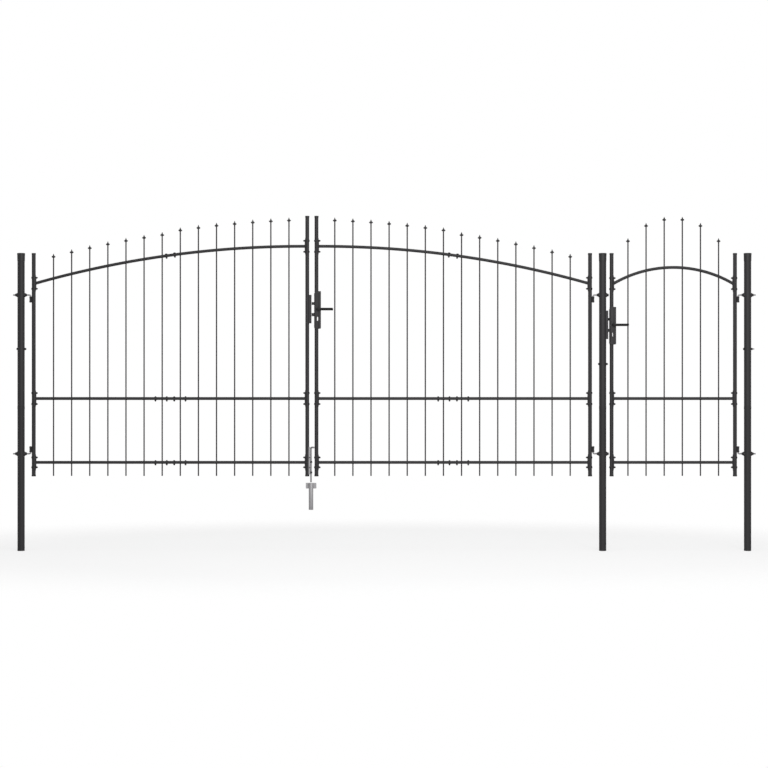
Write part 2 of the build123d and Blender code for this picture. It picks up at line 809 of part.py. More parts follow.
with BuildPart() as ground_socket:
    socket_bore = socket_diameter / 2 - socket_wall
    with BuildSketch(Plane.XY.offset(socket_top - socket_length)):
        with Locations((drop_bolt_x, 0)):
            Circle(socket_diameter / 2)
            Circle(socket_bore, mode=Mode.SUBTRACT)
    extrude(amount=socket_length)
    plate_middle = (drop_bolt_x, socket_bore, socket_top - socket_plate_height / 2)
    with BuildSketch(Plane(plate_middle, x_dir=(1, 0, 0), z_dir=(0, 1, 0))):
        RectangleRounded(socket_plate_width, socket_plate_height, socket_plate_corner)
    extrude(amount=socket_plate_thickness)
save(ground_socket, "ground_socket")
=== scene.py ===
"""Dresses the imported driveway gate: tubes, bars, spear points, welds, fasteners, finishes and a stage."""
import json
from dataclasses import dataclass
from math import asin, copysign, cos, pi, radians, sin, sqrt, tan

import bmesh
import bpy
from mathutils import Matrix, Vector


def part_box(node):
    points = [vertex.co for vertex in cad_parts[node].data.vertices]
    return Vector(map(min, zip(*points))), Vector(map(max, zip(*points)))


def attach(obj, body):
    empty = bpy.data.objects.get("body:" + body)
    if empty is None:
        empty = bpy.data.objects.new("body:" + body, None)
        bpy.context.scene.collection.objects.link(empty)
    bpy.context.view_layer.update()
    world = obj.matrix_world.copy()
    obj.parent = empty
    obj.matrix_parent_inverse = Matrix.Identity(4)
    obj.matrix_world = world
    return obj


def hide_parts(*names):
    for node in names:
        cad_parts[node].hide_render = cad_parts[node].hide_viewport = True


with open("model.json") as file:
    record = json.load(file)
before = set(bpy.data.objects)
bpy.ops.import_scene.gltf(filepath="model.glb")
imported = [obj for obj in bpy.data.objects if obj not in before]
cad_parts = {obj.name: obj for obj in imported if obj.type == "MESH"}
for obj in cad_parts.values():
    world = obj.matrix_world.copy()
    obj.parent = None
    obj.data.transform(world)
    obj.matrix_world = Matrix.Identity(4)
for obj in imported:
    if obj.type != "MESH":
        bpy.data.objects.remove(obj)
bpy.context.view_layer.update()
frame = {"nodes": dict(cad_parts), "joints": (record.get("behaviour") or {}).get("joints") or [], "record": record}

bl_info = {
    "name": "Driveway Gate Dresser",
    "version": (1, 0, 0),
    "blender": (4, 5, 0),
    "location": "View3D > Sidebar > Gate",
    "description": "Draws the tubes, bars, fasteners and finishes of a tubular steel driveway gate",
    "category": "Object",
}

# Names of the record's material slots
COAT = "powder_coated_steel"
PLASTIC = "black_plastic"
ZINC = "galvanised_steel"

# The finish that each slot is drawn with
FINISHES = {COAT: "satin_powder_coat", PLASTIC: "grained_plastic", ZINC: "dull_zinc"}
LEVER_FINISH = "smooth_black"

# How finely round things are drawn
POST_SIDES = 48
TUBE_SIDES = 32
RAIL_SIDES = 24
BAR_SIDES = 16
NUT_SIDES = 36
ARC_STEPS = 6
ARCH_STEPS = 28
THREAD_STEPS = 60
SHARP_ANGLE = radians(34)

UP = Vector((0.0, 0.0, 1.0))
RIGHT = Vector((1.0, 0.0, 0.0))
FRONT = Vector((0.0, -1.0, 0.0))


def span(node):
    """Size of a node's box."""
    low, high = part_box(node)
    return high - low


def middle(node):
    """Middle of a node's box."""
    low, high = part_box(node)
    return (high + low) / 2


def joint_place(name):
    """A point on a joint's axis."""
    return Vector(next(joint["pos_m"] for joint in frame["joints"] if joint["name"] == name))


# Places that the frame gives
POSTS = ("left", "middle", "right")
POST_X = {post: middle(f"{post}_post_lower").x for post in POSTS}
POST_RADIUS = span("left_post_upper").x / 2
POST_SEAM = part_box("left_post_lower")[1].z
STILE_RADIUS = span("left_meeting_stile").x / 2
LEAF_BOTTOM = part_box("left_stile_caps")[0].z
LEAF_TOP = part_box("walk_stile_caps")[1].z
PIN_X = {leaf: joint_place(f"{leaf}_leaf_swing").x for leaf in ("left", "right", "walk")}
LEFT_HINGE_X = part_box("left_hinge_stile")[1].x - STILE_RADIUS
LEFT_MEETING_X = middle("left_meeting_stile").x
RIGHT_MEETING_X = middle("right_meeting_stile").x
RIGHT_HINGE_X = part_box("right_hinge_stile")[0].x + STILE_RADIUS
WALK_LOCK_X = middle("walk_lock_stile").x
WALK_HINGE_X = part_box("walk_hinge_stile")[0].x + STILE_RADIUS
LEAF_STILES = {
    "left": {"left_hinge_stile": LEFT_HINGE_X, "left_meeting_stile": LEFT_MEETING_X},
    "right": {"right_hinge_stile": RIGHT_HINGE_X, "right_meeting_stile": RIGHT_MEETING_X},
    "walk": {"walk_hinge_stile": WALK_HINGE_X, "walk_lock_stile": WALK_LOCK_X},
}
CASE_IN_STILE = {"right_meeting_stile": "double_lock_case", "walk_lock_stile": "walk_lock_case"}

# Solids that stay in view and get soft edges
LOCK_PARTS = ("lock_case", "lock_forend", "latch", "deadbolt", "lever", "keep")
SOFT_NODES = [f"{gate}_{part}" for gate in ("double", "walk") for part in LOCK_PARTS]
SOFT_NODES += ["drop_bolt", "drop_bolt_plate", "drop_bolt_eyes", "ground_socket"]


def length(name, description, metres):
    """A length among the settings."""
    return bpy.props.FloatProperty(
        name=name, description=description, default=metres, precision=4, unit="LENGTH"
    )


def colour(name, description, shade):
    """A colour among the settings."""
    return bpy.props.FloatVectorProperty(
        name=name, description=description, default=shade, size=3, min=0.0, max=1.0, subtype="COLOR"
    )


def share(name, description, value):
    """A share or level among the settings."""
    return bpy.props.FloatProperty(
        name=name, description=description, default=value, min=0.0, subtype="FACTOR"
    )


def number(name, description, value):
    """A count among the settings."""
    return bpy.props.IntProperty(name=name, description=description, default=value, min=2)


def power(name, description, watts):
    """A lamp's power among the settings."""
    return bpy.props.FloatProperty(name=name, description=description, default=watts, unit="POWER")


def measures(name, description, metres):
    """A place or a size in two or three directions among the settings."""
    return bpy.props.FloatVectorProperty(
        name=name, description=description, default=metres, size=len(metres), precision=3, unit="LENGTH"
    )


class GatePosts(bpy.types.PropertyGroup):
    """Posts and their caps."""

    wall: length("Wall", "Thickness of the post tube", 0.0015)
    edge: length("Edge", "Break of the tube ends", 0.0005)
    seam: length("Seam", "Gap between the two tubes", 0.0001)
    bell_height: length("Bell height", "Widened mouth of the lower tube", 0.016)
    bell_run: length("Bell run", "Slope into the widened mouth", 0.004)
    foot_thickness: length("Foot", "Thickness of the closed foot", 0.003)
    cap_fit: length("Cap fit", "Space between tube and cap", 0.00015)
    cap_crown: length("Cap crown", "Round of the cap's top edge", 0.003)
    cap_rim_height: length("Cap rim", "Height of the cap's thick rim", 0.012)
    cap_rim_step: length("Cap rim step", "Step under the rim", 0.0005)
    cap_lip_wall: length("Cap lip", "Wall at the cap's lower edge", 0.0011)


class GateHinges(bpy.types.PropertyGroup):
    """Hook bolts, their washers and nuts, and the barrels."""

    hook_radius: length("Hook radius", "Radius of the hook bolt", 0.005)
    hook_bend: length("Hook bend", "Bend radius on the hook's axis", 0.0095)
    hook_end: length("Hook end", "Chamfer of the hook's ends", 0.0012)
    middle_tail: length("Middle tail", "Tail of the middle post's hooks from the post's axis", 0.042)
    thread_pitch: length("Thread pitch", "Pitch of the hook's thread", 0.0015)
    thread_depth: length("Thread depth", "Depth of the hook's thread", 0.0008)
    washer_radius: length("Washer radius", "Wide end of the saddle washer", 0.0145)
    washer_nose: length("Washer nose", "Narrow end of the saddle washer", 0.0105)
    washer_length: length("Washer length", "How far the washer stands off the post", 0.008)
    washer_saddle: length("Washer saddle", "How far the washer reaches round the post", 0.005)
    nut_flats: length("Nut flats", "Width of the nut over its flats", 0.017)
    nut_height: length("Nut height", "Height of the nut", 0.007)
    barrel_radius: length("Barrel radius", "Radius of a barrel's ends", 0.009)
    barrel_waist: length("Barrel waist", "Radius of a barrel's middle", 0.0075)
    barrel_length: length("Barrel length", "Length of a barrel", 0.039)
    barrel_gap: length("Barrel gap", "Gap between barrel and bend", 0.0006)
    barrel_fit: length("Barrel fit", "Space between pin and barrel", 0.00025)
    barrel_edge: length("Barrel edge", "Break of a barrel's ends", 0.0008)
    pin_proud: length("Pin end", "How far the pin passes its barrel", 0.002)
    bead_radius: length("Weld bead", "Radius of the barrel's weld beads", 0.0019)
    bead_ripple: length("Weld ripple", "Length of a ripple in a bead", 0.0034)


class GateBars(bpy.types.PropertyGroup):
    """Stiles, rails, pickets and saddle brackets."""

    stile_wall: length("Stile wall", "Thickness of the stile tube", 0.0015)
    cap_crown: length("Stile cap crown", "Cap above the tube's end", 0.0025)
    cap_round: length("Stile cap round", "Round of the cap's edge", 0.0018)
    cap_height: length("Stile cap height", "Height of a stile cap", 0.011)
    cap_fit: length("Stile cap fit", "Space between tube and cap", 0.00015)
    cap_wall: length("Stile cap wall", "Wall of a stile cap", 0.001)
    rail_radius: length("Rail radius", "Radius of the rail tube", 0.01)
    low_rail_rise: length("Low rail", "Low rail above the leaf's bottom", 0.094)
    middle_rail_drop: length("Middle rail", "Middle rail below the hinge stile's top", 0.977)
    arch_rise: length("Arch rise", "Apex of the double arch above the hinge stile's top", 0.046)
    arch_inset: length("Arch inset", "Apex of the double arch from the meeting stile", 0.031)
    arch_fall: length("Arch fall", "Fall of the double arch to the hinge stile", 0.2522)
    walk_arch_drop: length("Walk arch drop", "Apex of the walk arch below the stile's top", 0.096)
    walk_arch_fall: length("Walk arch fall", "Fall of the walk arch to its stiles", 0.1163)
    picket_radius: length("Picket radius", "Radius of the upright bars", 0.0045)
    picket_gap: length("Picket foot", "Foot of a picket above the leaf's bottom", 0.003)
    half_pickets: number("Half panel pickets", "Pickets of half a double leaf", 7)
    walk_pickets: number("Walk pickets", "Pickets of the walk gate", 6)
    hinge_margin: length("Hinge margin", "Hinge stile to the first picket", 0.133)
    meeting_margin: length("Meeting margin", "Meeting stile to the last picket", 0.123)
    walk_margin: length("Walk margin", "Walk stile to the nearest picket", 0.11)
    hinge_tip: length("Hinge tip", "First tip above the arch", 0.166)
    outer_splice_tip: length("Outer splice tip", "Outer tip beside the splice", 0.164)
    inner_splice_tip: length("Inner splice tip", "Inner tip beside the splice", 0.179)
    meeting_tip: length("Meeting tip", "Last tip above the arch", 0.1945)
    walk_tip: length("Walk tip", "Highest point of the walk tips' arc above the arch", 0.3455)
    walk_tip_fall: length("Walk tip fall", "Fall of that arc to the outer tips", 0.1485)
    spear_length: length("Spear length", "Length of a spear point", 0.031)
    spear_half_width: length("Spear half width", "Half the width over its ears", 0.0132)
    spear_half_depth: length("Spear half depth", "Half the thickness at its ears", 0.005)
    bracket_fit: length("Bracket fit", "Space between stile and bracket", 0.00015)
    bracket_half_height: length("Bracket half height", "Half the height of a saddle bracket", 0.056)
    bracket_thickness: length("Bracket thickness", "Thickness at the rail", 0.0044)
    bracket_lip: length("Bracket lip", "Thickness at the ends", 0.0008)
    bracket_taper: length("Bracket taper", "Length of each thinned end", 0.025)
    bracket_wrap: bpy.props.FloatProperty(
        name="Bracket wrap", description="Half the angle that a bracket covers", default=1.318,
        subtype="ANGLE",
    )
    splice_gap: length("Splice gap", "Half the gap between two spliced rails", 0.0004)
    sleeve_radius: length("Sleeve radius", "Radius of the sleeve inside a splice", 0.0088)
    sleeve_reach: length("Sleeve reach", "Half the length of the sleeve", 0.031)
    weld: length("Weld", "Leg of the weld round a picket", 0.0016)
    rail_weld: length("Rail weld", "Leg of the weld round a rail's end", 0.0026)


class GateFasteners(bpy.types.PropertyGroup):
    """Bolts, nuts and screws."""

    bracket_pitch: length("Bracket pitch", "Bracket bolt from the rail's axis", 0.037)
    low_bracket_pitch: length("Low bracket pitch", "Bracket bolt from the low rail's axis", 0.033)
    washer_radius: length("Washer radius", "Radius of the flat washers", 0.0068)
    washer_thickness: length("Washer thickness", "Thickness of the flat washers", 0.0014)
    arch_washer_radius: length("Arch washer radius", "Radius of the washers on the arch splices", 0.0095)
    cap_nut_flats: length("Cap nut flats", "Width of a cap nut over its flats", 0.0115)
    cap_nut_base: length("Cap nut base", "Height of a cap nut's hexagon", 0.0055)
    cap_nut_dome: length("Cap nut dome", "Height of a cap nut's dome", 0.0052)
    head_radius: length("Head radius", "Radius of the round heads", 0.0076)
    head_height: length("Head height", "Height of the round heads", 0.0042)
    stile_seat: share("Stile seat", "Where heads start on a stile, as a share of its radius", 0.94)
    rail_seat: share("Rail seat", "Where heads and nuts start on a rail", 0.92)
    post_seat: share("Post seat", "Where washers start on a post", 0.96)
    sunk: share("Sunk", "Where a head starts in what it sits on, as a share of its thickness", 0.9)
    splice_near: length("Splice near", "Inner splice bolts from the splice", 0.025)
    splice_far: length("Splice far", "Outer splice bolts from the splice", 0.101)
    arch_splice: length("Arch splice", "Arch splice bolts from the splice", 0.028)
    splice_head_height: length("Splice head height", "Height of the splice bolts' heads", 0.00504)
    outer_post_bolt: length("Outer post bolt", "Height of the outer posts' cross bolts", 1.356)
    middle_post_bolt: length("Middle post bolt", "Height of the middle post's cross bolt", 1.255)
    post_bolt_radius: length("Post bolt radius", "Radius of the cross bolts", 0.004)
    post_bolt_reach: length("Post bolt reach", "Longest cross bolt end from the post's axis", 0.045)
    post_bolt_stub: length("Post bolt stub", "How far the other cross bolts pass the post", 0.0121)
    post_thread_pitch: length("Post thread pitch", "Pitch of the cross bolts' thread", 0.0012)
    post_thread_depth: length("Post thread depth", "Depth of the cross bolts' thread", 0.00056)
    post_washer_radius: length("Post washer radius", "Radius of the cross bolts' washers", 0.0085)
    post_washer_thickness: length("Post washer thickness", "Thickness of those washers", 0.0028)
    post_head_height: length("Post head height", "Height of the cross bolts' heads", 0.00588)
    post_nut_flats: length("Post nut flats", "Width of the cross bolts' nuts over their flats", 0.013225)
    post_nut_height: length("Post nut height", "Height of the cross bolts' nuts", 0.00715)
    screw_radius: length("Screw radius", "Radius of the lock and keep screws", 0.0036)
    screw_height: length("Screw height", "Height of their heads", 0.0012)
    screw_inset: length("Screw inset", "Lock and keep screws from their plate's ends", 0.012)
    case_screw_pitch: length("Case screw pitch", "Case screws above and below the latch", 0.017)
    case_screw_inset: length("Case screw inset", "Case screws behind the case's face", 0.0065)
    keyhole_drop: length("Keyhole drop", "Middle of the keyhole below the lever", 0.0655)
    keyhole_half_width: length("Keyhole half width", "Half the width of the keyhole", 0.00525)
    keyhole_half_height: length("Keyhole half height", "Half the height of the keyhole", 0.0145)
    rim_radius: length("Keyhole rim", "Radius of the rolled rim of the keyhole", 0.0009)
    case_weld: length("Case weld", "Radius of the weld round a stile at its lock case", 0.0015)
    soft_edge: length("Soft edge", "Round on the edges of the solids that stay in view", 0.0006)


class GateDropBolt(bpy.types.PropertyGroup):
    """Fixings of the drop bolt and its socket."""

    ear_reach: length("Ear reach", "Width of the plate's clamp ears", 0.009)
    ear_height: length("Ear height", "Height of the plate's clamp ears", 0.016)
    ear_thickness: length("Ear thickness", "Thickness of the plate's clamp ears", 0.003)
    ear_corner: length("Ear corner", "Corner radius of the plate's clamp ears", 0.0025)
    ear_head: length("Ear head", "Radius of the screw heads on the ears", 0.0042)
    socket_plate_height: length("Socket plate height", "Height of the socket's cross plate", 0.038)
    socket_plate_thickness: length("Socket plate thickness", "Thickness of the socket's cross plate", 0.004)


class GateFinish(bpy.types.PropertyGroup):
    """Colours and surface of the finishes."""

    coat_dark: colour("Coat dark", "Powder coat, darker patches", (0.0158, 0.0152, 0.0161))
    coat_light: colour("Coat light", "Powder coat, lighter patches", (0.0237, 0.0229, 0.0242))
    coat_rough: share("Coat roughness", "Mean roughness of the powder coat", 0.55)
    coat_sheen: share("Coat sheen", "Mirror strength of the powder coat", 0.2)
    coat_cloud: length("Coat cloud", "Size of the coat's patches", 0.12)
    plastic_dark: colour("Plastic dark", "Moulded plastic, darker grain", (0.015, 0.0148, 0.0153))
    plastic_light: colour("Plastic light", "Moulded plastic, lighter grain", (0.025, 0.0246, 0.0255))
    # The lever's grip colour is painted shade and its hub colour is painted light
    lever_grip_painted_shade: colour("Lever grip", "Smooth black of a lever's grip", (0.004, 0.004, 0.0042))
    lever_hub_painted_light: colour("Lever hub", "Paler black of a lever's hub", (0.032, 0.031, 0.0325))
    plastic_rough: share("Plastic roughness", "Mean roughness of the plastic", 0.5)
    plastic_sheen: share("Plastic sheen", "Mirror strength of the plastic", 0.2)
    plastic_cloud: length("Plastic cloud", "Size of the plastic's patches", 0.03)
    lever_sheen: share("Lever sheen", "Mirror strength of the levers", 0.08)
    lever_wear: length("Lever wear", "Size of the polished patches", 0.02)
    zinc_dark: colour("Zinc dark", "Plating, darker crystals", (0.215, 0.211, 0.218))
    zinc_light: colour("Zinc light", "Plating, lighter crystals", (0.325, 0.319, 0.325))
    zinc_rough: share("Zinc roughness", "Mean roughness of the plating", 0.58)
    zinc_metal: share("Zinc metal", "How metallic the dull plating looks", 0.55)
    zinc_cloud: length("Zinc cloud", "Size of the plating's patches", 0.02)
    zinc_crystal: length("Zinc crystal", "Size of the plating's crystals", 0.00625)
    grain: length("Grain", "Size of the coat's orange peel", 0.0014)
    bump: length("Bump", "Depth of the coat's orange peel", 0.00006)


class GateStage(bpy.types.PropertyGroup):
    """Camera, floor and light."""

    camera_distance: length("Camera distance", "From the lens to the gate", 11.5)
    view_width: length("View width", "Width of the picture at the gate", 5.161)
    view_x: length("View centre", "Middle of the picture along the gate", -1.4693)
    view_z: length("View height", "Height of the picture's middle", 1.1206)
    sky_level: share("Sky level", "Soft light from all round", 0.4)
    key_watts: power("Key power", "Large lamp in front, above and to the right", 400.0)
    key_place: measures("Key place", "Middle of the key lamp", (0.0, -6.5, 2.8))
    key_size: measures("Key size", "Width and height of the key lamp", (5.0, 4.0))
    top_watts: power("Top power", "Long lamp overhead", 60.0)
    top_place: measures("Top place", "Middle of the top lamp", (-1.4693, -0.8, 5.2))
    top_size: measures("Top size", "Length and width of the top lamp", (6.0, 1.5))
    floor_shade: colour("Floor", "Colour of the floor", (0.86, 0.86, 0.865))
    floor_clear: share("Floor clearness", "How far the white behind shows through the floor", 0.75)
    floor_reach: length("Floor reach", "Half the length of the floor", 4.6)
    floor_depth: length("Floor depth", "Half the depth of the floor", 3.0)
    fade_start: share("Fade start", "Where the floor starts to fade, as a share of its size", 0.25)
    fade_end: share("Fade end", "Where the floor is gone", 0.48)


def square_to(axis):
    """Two directions square to an axis and to each other."""
    across = axis.orthogonal().normalized()
    return across, axis.cross(across)


def turns(count):
    """Even angles round a circle."""
    return [2 * pi * spot / count for spot in range(count)]


def spoke(across, over, turn):
    """An arrow of length one at a turn between two directions."""
    return across * cos(turn) + over * sin(turn)


def spaced(start, end, count):
    """Even steps from start to end, both included."""
    return [start + (end - start) * spot / (count - 1) for spot in range(count)]


def at(x, z):
    """A point in the gate's middle plane."""
    return Vector((x, 0.0, z))


def even(size):
    """The radius of a plain rod, as a function for Skin.rod."""
    return lambda run, turn: size


def threaded(size, pitch, depth, thread_length):
    """The radius of a rod that is threaded from its start over a length, as a function for Skin.rod."""

    def radius(run, turn):
        if run > thread_length:
            return size
        return size - depth / 2 * (1 - cos(2 * pi * run / pitch - turn))

    return radius


class Skin:
    """Closed surfaces gathered into one piece."""

    def __init__(self):
        self.points = []
        self.faces = []

    def rings(self, rings, looped=False):
        """Skin rings of points in order, with flat ends unless the last ring meets the first."""
        start = len(self.points)
        count = len(rings[0])
        self.points.extend(point for ring in rings for point in ring)
        for step in range(len(rings) if looped else len(rings) - 1):
            near = start + step * count
            far = start + (step + 1) % len(rings) * count
            for spot in range(count):
                after = (spot + 1) % count
                self.faces.append((near + spot, near + after, far + after, far + spot))
        if not looped:
            last = start + (len(rings) - 1) * count
            self.faces.append(tuple(range(start + count - 1, start - 1, -1)))
            self.faces.append(tuple(range(last, last + count)))

    def lathe(self, place, axis, profile, sides=BAR_SIDES, looped=False):
        """Turn (distance, radius) pairs about an axis through a place."""
        across, over = square_to(axis)
        arrows = [spoke(across, over, turn) for turn in turns(sides)]
        rings = []
        for distance, radius in profile:
            rings.append([place + axis * distance + arrow * radius for arrow in arrows])
        self.rings(rings, looped)

    def rod(self, path, radius, sides=BAR_SIDES, chamfer=0.0, looped=False):
        """Sweep a round along a path; the radius is a function of the distance run and the turn."""
        across = square_to((path[1] - path[0]).normalized())[0]
        runs = [0.0]
        for near, far in zip(path, path[1:]):
            runs.append(runs[-1] + (far - near).length)
        last = len(path) - 1
        rings = []
        for spot, point in enumerate(path):
            before = spot - 1 if looped else max(spot - 1, 0)
            after = (spot + 1) % len(path) if looped else min(spot + 1, last)
            along = (path[after] - path[before]).normalized()
            across = (across - along * across.dot(along)).normalized()
            over = along.cross(across)
            cut = max(0.0, chamfer - runs[spot], chamfer - (runs[-1] - runs[spot]))
            ring = []
            for turn in turns(sides):
                ring.append(point + spoke(across, over, turn) * (radius(runs[spot], turn) - cut))
            rings.append(ring)
        self.rings(rings, looped)

    def nut(self, place, axis, flats, height):
        """A hexagon with its corners turned off at both ends."""
        across, over = square_to(axis)
        face = 0.48 * flats
        rings = [[], [], [], []]
        for turn in turns(NUT_SIDES):
            arrow = spoke(across, over, turn)
            side = flats / 2 / cos((turn + pi / 6) % (pi / 3) - pi / 6)
            drop = (side - face) * tan(pi / 6)
            profile = ((0.0, face), (drop, side), (height - drop, side), (height, face))
            for ring, (distance, radius) in zip(rings, profile):
                ring.append(place + axis * distance + arrow * radius)
        self.rings(rings)

    def dome(self, place, axis, radius, height):
        """A round head: a broken edge, a short side and a round that ends in a small flat."""
        foot = 0.94 * radius
        side = 0.15 * height
        profile = [(0.0, foot)]
        for turn in spaced(0.0, 0.45 * pi, ARC_STEPS):
            profile.append((side + (height - side) * sin(turn), radius * cos(turn)))
        self.lathe(place, axis, profile)

    def washer(self, place, axis, radius, thickness):
        """A flat washer with broken edges."""
        edge = thickness / 4
        self.lathe(place, axis, [
            (0.0, radius - edge), (edge, radius), (thickness - edge, radius), (thickness, radius - edge),
        ])

    def slab(self, place, across, over, half_wide, half_high, thickness, corner):
        """A plate with round corners and broken edges, grown from its middle square to its two directions."""
        axis = across.cross(over)
        edge = thickness / 5
        rings = []
        for distance, inset in ((0.0, edge), (edge, 0.0), (thickness - edge, 0.0), (thickness, edge)):
            ring = []
            for turn in turns(BAR_SIDES):
                turn += pi / BAR_SIDES
                wide = copysign(half_wide - corner, cos(turn)) + (corner - inset) * cos(turn)
                high = copysign(half_high - corner, sin(turn)) + (corner - inset) * sin(turn)
                ring.append(place + across * wide + over * high + axis * distance)
            rings.append(ring)
        self.rings(rings)

    def bead(self, path, size, ripple, looped=False):
        """A weld bead laid in overlapping ripples."""
        swell = 0.13 * size
        slant = 0.6

        def radius(run, turn):
            return size - swell + swell * sin(2 * pi * run / ripple + slant * cos(turn))

        self.rod(path, radius, chamfer=0.0 if looped else size / 2, looped=looped)

    def collar(self, place, axis, along, carrier_radius, bar_radius, leg, lean=0.0, stretch=1.0):
        """The uneven weld round a bar on a round carrier that may lean; a leaning bar stretches it."""
        over = axis.cross(along)
        rings = []
        # Corners of the weld's section in legs: out from the bar, up from the carrier
        for grow, lift in ((-0.3, -0.4), (1.0, -0.3), (0.34, 0.34), (-0.3, 1.0)):
            ring = []
            for turn in turns(BAR_SIDES):
                lump = leg * (1.0 + 0.14 * sin(3 * turn) + 0.1 * sin(7 * turn + 1.0))
                radius = bar_radius + grow * lump
                rise = sqrt(carrier_radius**2 - (radius * sin(turn)) ** 2) + lift * lump
                rise += lean * radius * cos(turn)
                reach = stretch * radius * cos(turn)
                ring.append(place + along * reach + over * (radius * sin(turn)) + axis * rise)
            rings.append(ring)
        self.rings(rings, looped=True)

    def piece(self, name, body, slot, *nodes):
        """Make the object, hang it on a body and let it stand for the nodes that it redraws."""
        mesh = bpy.data.meshes.new(name)
        mesh.from_pydata(self.points, [], self.faces)
        shape = bmesh.new()
        shape.from_mesh(mesh)
        bmesh.ops.recalc_face_normals(shape, faces=shape.faces)
        for face in shape.faces:
            face.smooth = True
        shape.to_mesh(mesh)
        shape.free()
        mesh.set_sharp_from_angle(angle=SHARP_ANGLE)
        mesh.materials.append(bpy.data.materials[FINISHES[slot]])
        made = bpy.data.objects.new(name, mesh)
        bpy.context.scene.collection.objects.link(made)
        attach(made, body)
        if nodes:
            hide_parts(*nodes)


class Arch:
    """A round arch given by its apex and its fall over half a chord."""

    def __init__(self, apex_x, apex_z, half_chord, fall):
        self.apex_x = apex_x
        self.apex_z = apex_z
        self.radius = (half_chord**2 + fall**2) / (2 * fall)

    def height(self, x):
        """Height of the centre line."""
        return self.apex_z - self.radius + sqrt(self.radius**2 - (x - self.apex_x) ** 2)

    def lean(self, x):
        """Rise of the centre line over its run."""
        return -tan(asin((x - self.apex_x) / self.radius))


@dataclass
class LeafPanel:
    """One welded panel: where its rails run, its pickets, and the stiles it is bolted to."""

    node: str
    body: str
    ends: tuple
    arch: Arch
    pickets: list
    stiles: list
    splice: float | None = None


def half_pickets(bars, arch, first_x, pitch, first_tip, last_tip):
    """Places and tip heights of the pickets of half a leaf."""
    climbs = spaced(first_tip, last_tip, bars.half_pickets)
    places = [first_x + step * pitch for step in range(bars.half_pickets)]
    return [(x, arch.height(x) + climb) for x, climb in zip(places, climbs)]


def gate_panels(bars):
    """The five panels."""
    leaf_width = LEFT_MEETING_X - LEFT_HINGE_X
    splice_x = (LEFT_MEETING_X + LEFT_HINGE_X) / 2
    pitch = (leaf_width - bars.hinge_margin - bars.meeting_margin) / (2 * bars.half_pickets - 1)
    apex_x = LEFT_MEETING_X - bars.arch_inset
    apex_z = LEAF_TOP + bars.arch_rise
    left_arch = Arch(apex_x, apex_z, apex_x - LEFT_HINGE_X, bars.arch_fall)
    first_x = LEFT_HINGE_X + bars.hinge_margin
    outer = half_pickets(bars, left_arch, first_x, pitch, bars.hinge_tip, bars.outer_splice_tip)
    first_x += bars.half_pickets * pitch
    inner = half_pickets(bars, left_arch, first_x, pitch, bars.inner_splice_tip, bars.meeting_tip)

    def over(x):
        """The same place on the other leaf."""
        return LEFT_HINGE_X + RIGHT_HINGE_X - x

    right_arch = Arch(over(apex_x), apex_z, apex_x - LEFT_HINGE_X, bars.arch_fall)
    outer_over = [(over(x), tip) for x, tip in outer]
    inner_over = [(over(x), tip) for x, tip in inner]
    gap = bars.splice_gap

    walk_width = WALK_HINGE_X - WALK_LOCK_X
    walk_x = WALK_LOCK_X + walk_width / 2
    walk_arch = Arch(walk_x, LEAF_TOP - bars.walk_arch_drop, walk_width / 2, bars.walk_arch_fall)
    tips_apex_z = walk_arch.apex_z + bars.walk_tip
    tips = Arch(walk_x, tips_apex_z, walk_width / 2 - bars.walk_margin, bars.walk_tip_fall)
    places = spaced(WALK_LOCK_X + bars.walk_margin, WALK_HINGE_X - bars.walk_margin, bars.walk_pickets)
    walk = [(x, tips.height(x)) for x in places]
    return [
        LeafPanel("left_outer_panel", "left_leaf", (LEFT_HINGE_X, splice_x - gap), left_arch, outer,
                  [(LEFT_HINGE_X, 1)], splice_x),
        LeafPanel("left_inner_panel", "left_leaf", (splice_x + gap, LEFT_MEETING_X), left_arch, inner,
                  [(LEFT_MEETING_X, -1)]),
        LeafPanel("right_inner_panel", "right_leaf", (RIGHT_MEETING_X, over(splice_x) - gap), right_arch,
                  inner_over, [(RIGHT_MEETING_X, 1)]),
        LeafPanel("right_outer_panel", "right_leaf", (over(splice_x) + gap, RIGHT_HINGE_X), right_arch,
                  outer_over, [(RIGHT_HINGE_X, -1)], over(splice_x)),
        LeafPanel("walk_panel", "walk_leaf", (WALK_LOCK_X, WALK_HINGE_X), walk_arch, walk,
                  [(WALK_LOCK_X, 1), (WALK_HINGE_X, -1)]),
    ]


def level_rails(bars):
    """Heights of the low and the middle rail."""
    return LEAF_BOTTOM + bars.low_rail_rise, LEAF_TOP - bars.middle_rail_drop


def rails_at(bars, arch, x):
    """Height and lean of the low, the middle and the arched rail at a place along the gate."""
    return [(z, 0.0) for z in level_rails(bars)] + [(arch.height(x), arch.lean(x))]


def hook_heights(hinges):
    """Height of the upper and the lower hooks, and which way their pins point."""
    low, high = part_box("hinge_hooks")
    return (high.z - hinges.hook_radius, -1), (low.z + hinges.hook_radius, 1)


class Field:
    """A shader value that can be used in sums."""

    def __init__(self, graph, socket):
        self.graph = graph
        self.socket = socket

    def __add__(self, other):
        return self.graph.sum("ADD", self, other)

    def __radd__(self, other):
        return self.graph.sum("ADD", other, self)

    def __sub__(self, other):
        return self.graph.sum("SUBTRACT", self, other)

    def __rsub__(self, other):
        return self.graph.sum("SUBTRACT", other, self)

    def __mul__(self, other):
        return self.graph.sum("MULTIPLY", self, other)

    def __rmul__(self, other):
        return self.graph.sum("MULTIPLY", other, self)


